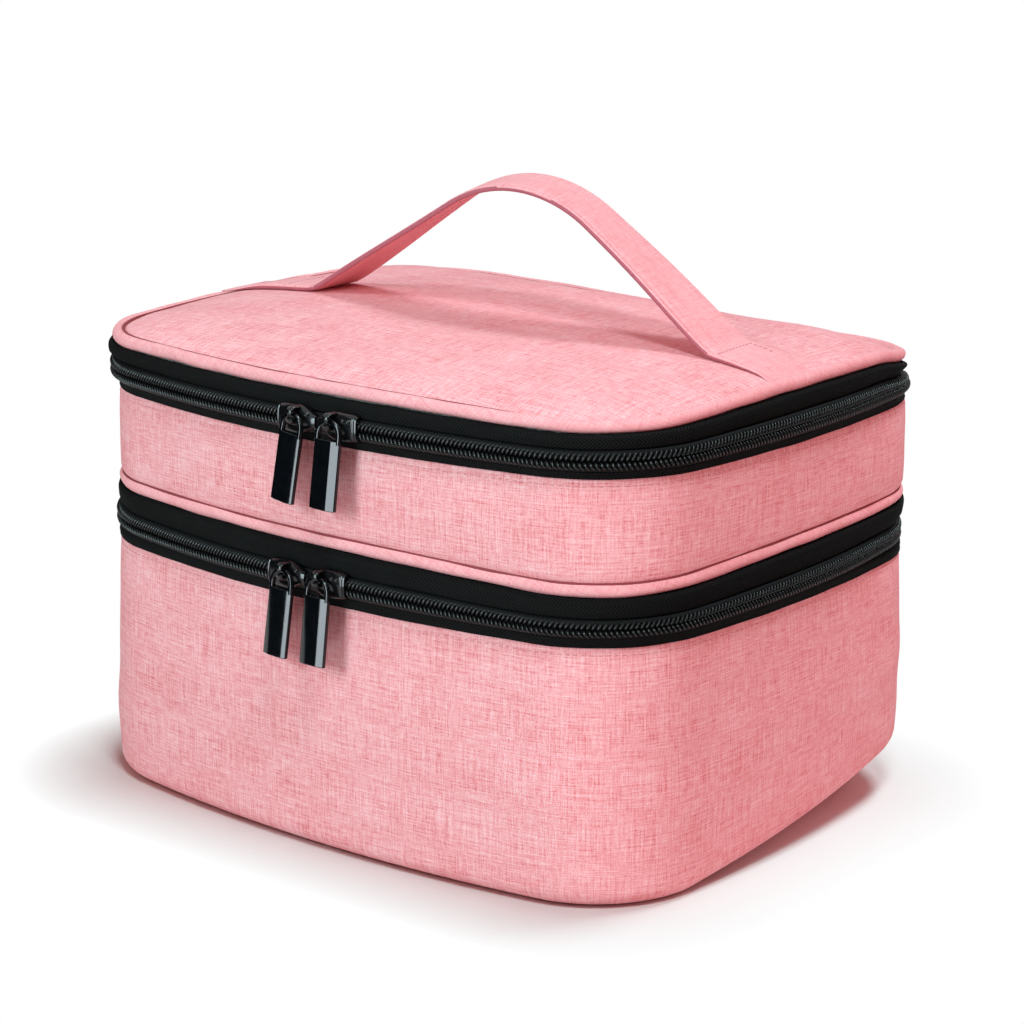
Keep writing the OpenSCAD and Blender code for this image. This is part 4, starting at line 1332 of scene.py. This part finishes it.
def lamp(name, azimuth, elevation, far, size, power, colour):
    """A soft box that faces the case."""
    light = bpy.data.lights.new(name, "AREA")
    light.shape = "RECTANGLE"
    light.size, light.size_y = size
    light.energy = power
    light.color = colour
    box = bpy.data.objects.new(name, light)
    box.location = towards(azimuth, elevation, far)
    box.rotation_euler = (AIM - box.location).to_track_quat("-Z", "Y").to_euler()
    bpy.context.scene.collection.objects.link(box)
    return box


CARD_FAR = 560


def card(name, first, last, top, finish):
    """A curved card round the front, which only glossy parts see."""
    turns = np.radians(np.linspace(first, last, 12))
    verts = [(CARD_FAR * math.sin(a), -CARD_FAR * math.cos(a), z) for z in (-0.2, top) for a in turns]
    n = len(turns)
    piece = skin(name, np.array(verts), [[k, k + 1, n + k + 1, n + k] for k in range(n - 1)])
    piece.data.materials.append(finish.material)
    piece.visible_camera = piece.visible_diffuse = piece.visible_shadow = piece.visible_transmission = False


def cards():
    """Black cards keep the pulls' flat faces black. A bright one lights their bevels and the coils."""
    black = Finish("black_card")
    dark = black.node("BsdfDiffuse", None, {"Color": (0.01, 0.01, 0.012, 1)})
    black.node("OutputMaterial", None, {"Surface": dark})
    card("black_card", -15, -115, 420, black)
    card("black_card_right", 150, 14, 420, black)
    bright = Finish("bright_card")
    glow = bright.node("Emission", None, {"Color": (0.82, 0.93, 1, 1), "Strength": 12.0})
    bright.node("OutputMaterial", None, {"Surface": glow})
    card("bright_card", 12, -14, 300, bright)


def lamps():
    """The two low boxes don't light the floor, which would lose the shadow along the case's edges."""
    cool = (0.7, 0.98, 1.0)
    front = lamp("front_box", 0, 22, 1.4, (0.4, 0.6), 14, (0.67, 1.0, 1.0))
    others = bpy.data.collections.new("not_the_floor")
    others.objects.link(bpy.data.objects["floor"])
    others.collection_objects[0].light_linking.link_state = "EXCLUDE"
    right = lamp("right_fill", 88, 14, 2.0, (0.9, 0.9), 8, (1, 0.24, 0.24))
    front.light_linking.receiver_collection = right.light_linking.receiver_collection = others
    lamp("high_box", 50, 58, 1.6, (0.3, 0.3), 11, cool)
    lamp("top_box", 150, 66, 1.6, (0.35, 0.35), 13.1, cool)


# The fitted camera: its place in metres, its heading and drop in degrees, and its focal length in pixels
EYE, HEADING, DROP = (0.7086, -0.8583, 0.3969), 39.3, 14.9
FOCAL_PIXELS, PICTURE_PIXELS, SENSOR_W = 3131.3, 1024, 36


def camera():
    """The photograph's view."""
    azimuth, drop = math.radians(HEADING), math.radians(DROP)
    level = math.cos(drop)
    ahead = Vector((-math.sin(azimuth) * level, math.cos(azimuth) * level, -math.sin(drop)))
    view = bpy.data.cameras.new("photo_view")
    view.sensor_width = SENSOR_W
    view.lens = SENSOR_W * FOCAL_PIXELS / PICTURE_PIXELS
    view.clip_start, view.clip_end = 0.05, 50
    eye_object = bpy.data.objects.new("photo_view", view)
    eye_object.location = EYE
    eye_object.rotation_euler = ahead.to_track_quat("-Z", "Y").to_euler()
    bpy.context.scene.collection.objects.link(eye_object)
    bpy.context.scene.camera = eye_object


def inner_boards():
    """The boards in the base and the tray, which bend with the cloth round them."""
    for part, body in (("base", "lower_box"), ("tray", "tray")):
        node = f"{part}_board"
        low, high = (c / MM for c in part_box(node))
        board = flat_pad(f"{part}_stiff_board", high[0] - CASE_W / 2, low[2], high[2], 0.2, step=6.0)
        dressed(board, BOARD, body, "stiff_board", node)


camera()
white_floor()
studio_world()
lamps()
cards()
lower_wall()
tray_wall()
pipings()
lid()
inner_boards()
linings()
floors()
bindings()
for tier, zip_z, z0, z1, low_body, high_body in ZIPS:
    zip_tapes(f"{tier}_zip", zip_z, z0, z1, low_body, high_body)
for tier, zip_z, z0, z1, low_body, high_body in ZIPS:
    coil_rows(f"{tier}_zip", zip_z, low_body, high_body)
hinge_cloths()
seams()
strap()
strap_stitches()
dividers()
sliders_and_pulls()

bpy.context.scene.view_settings.view_transform = "Standard"
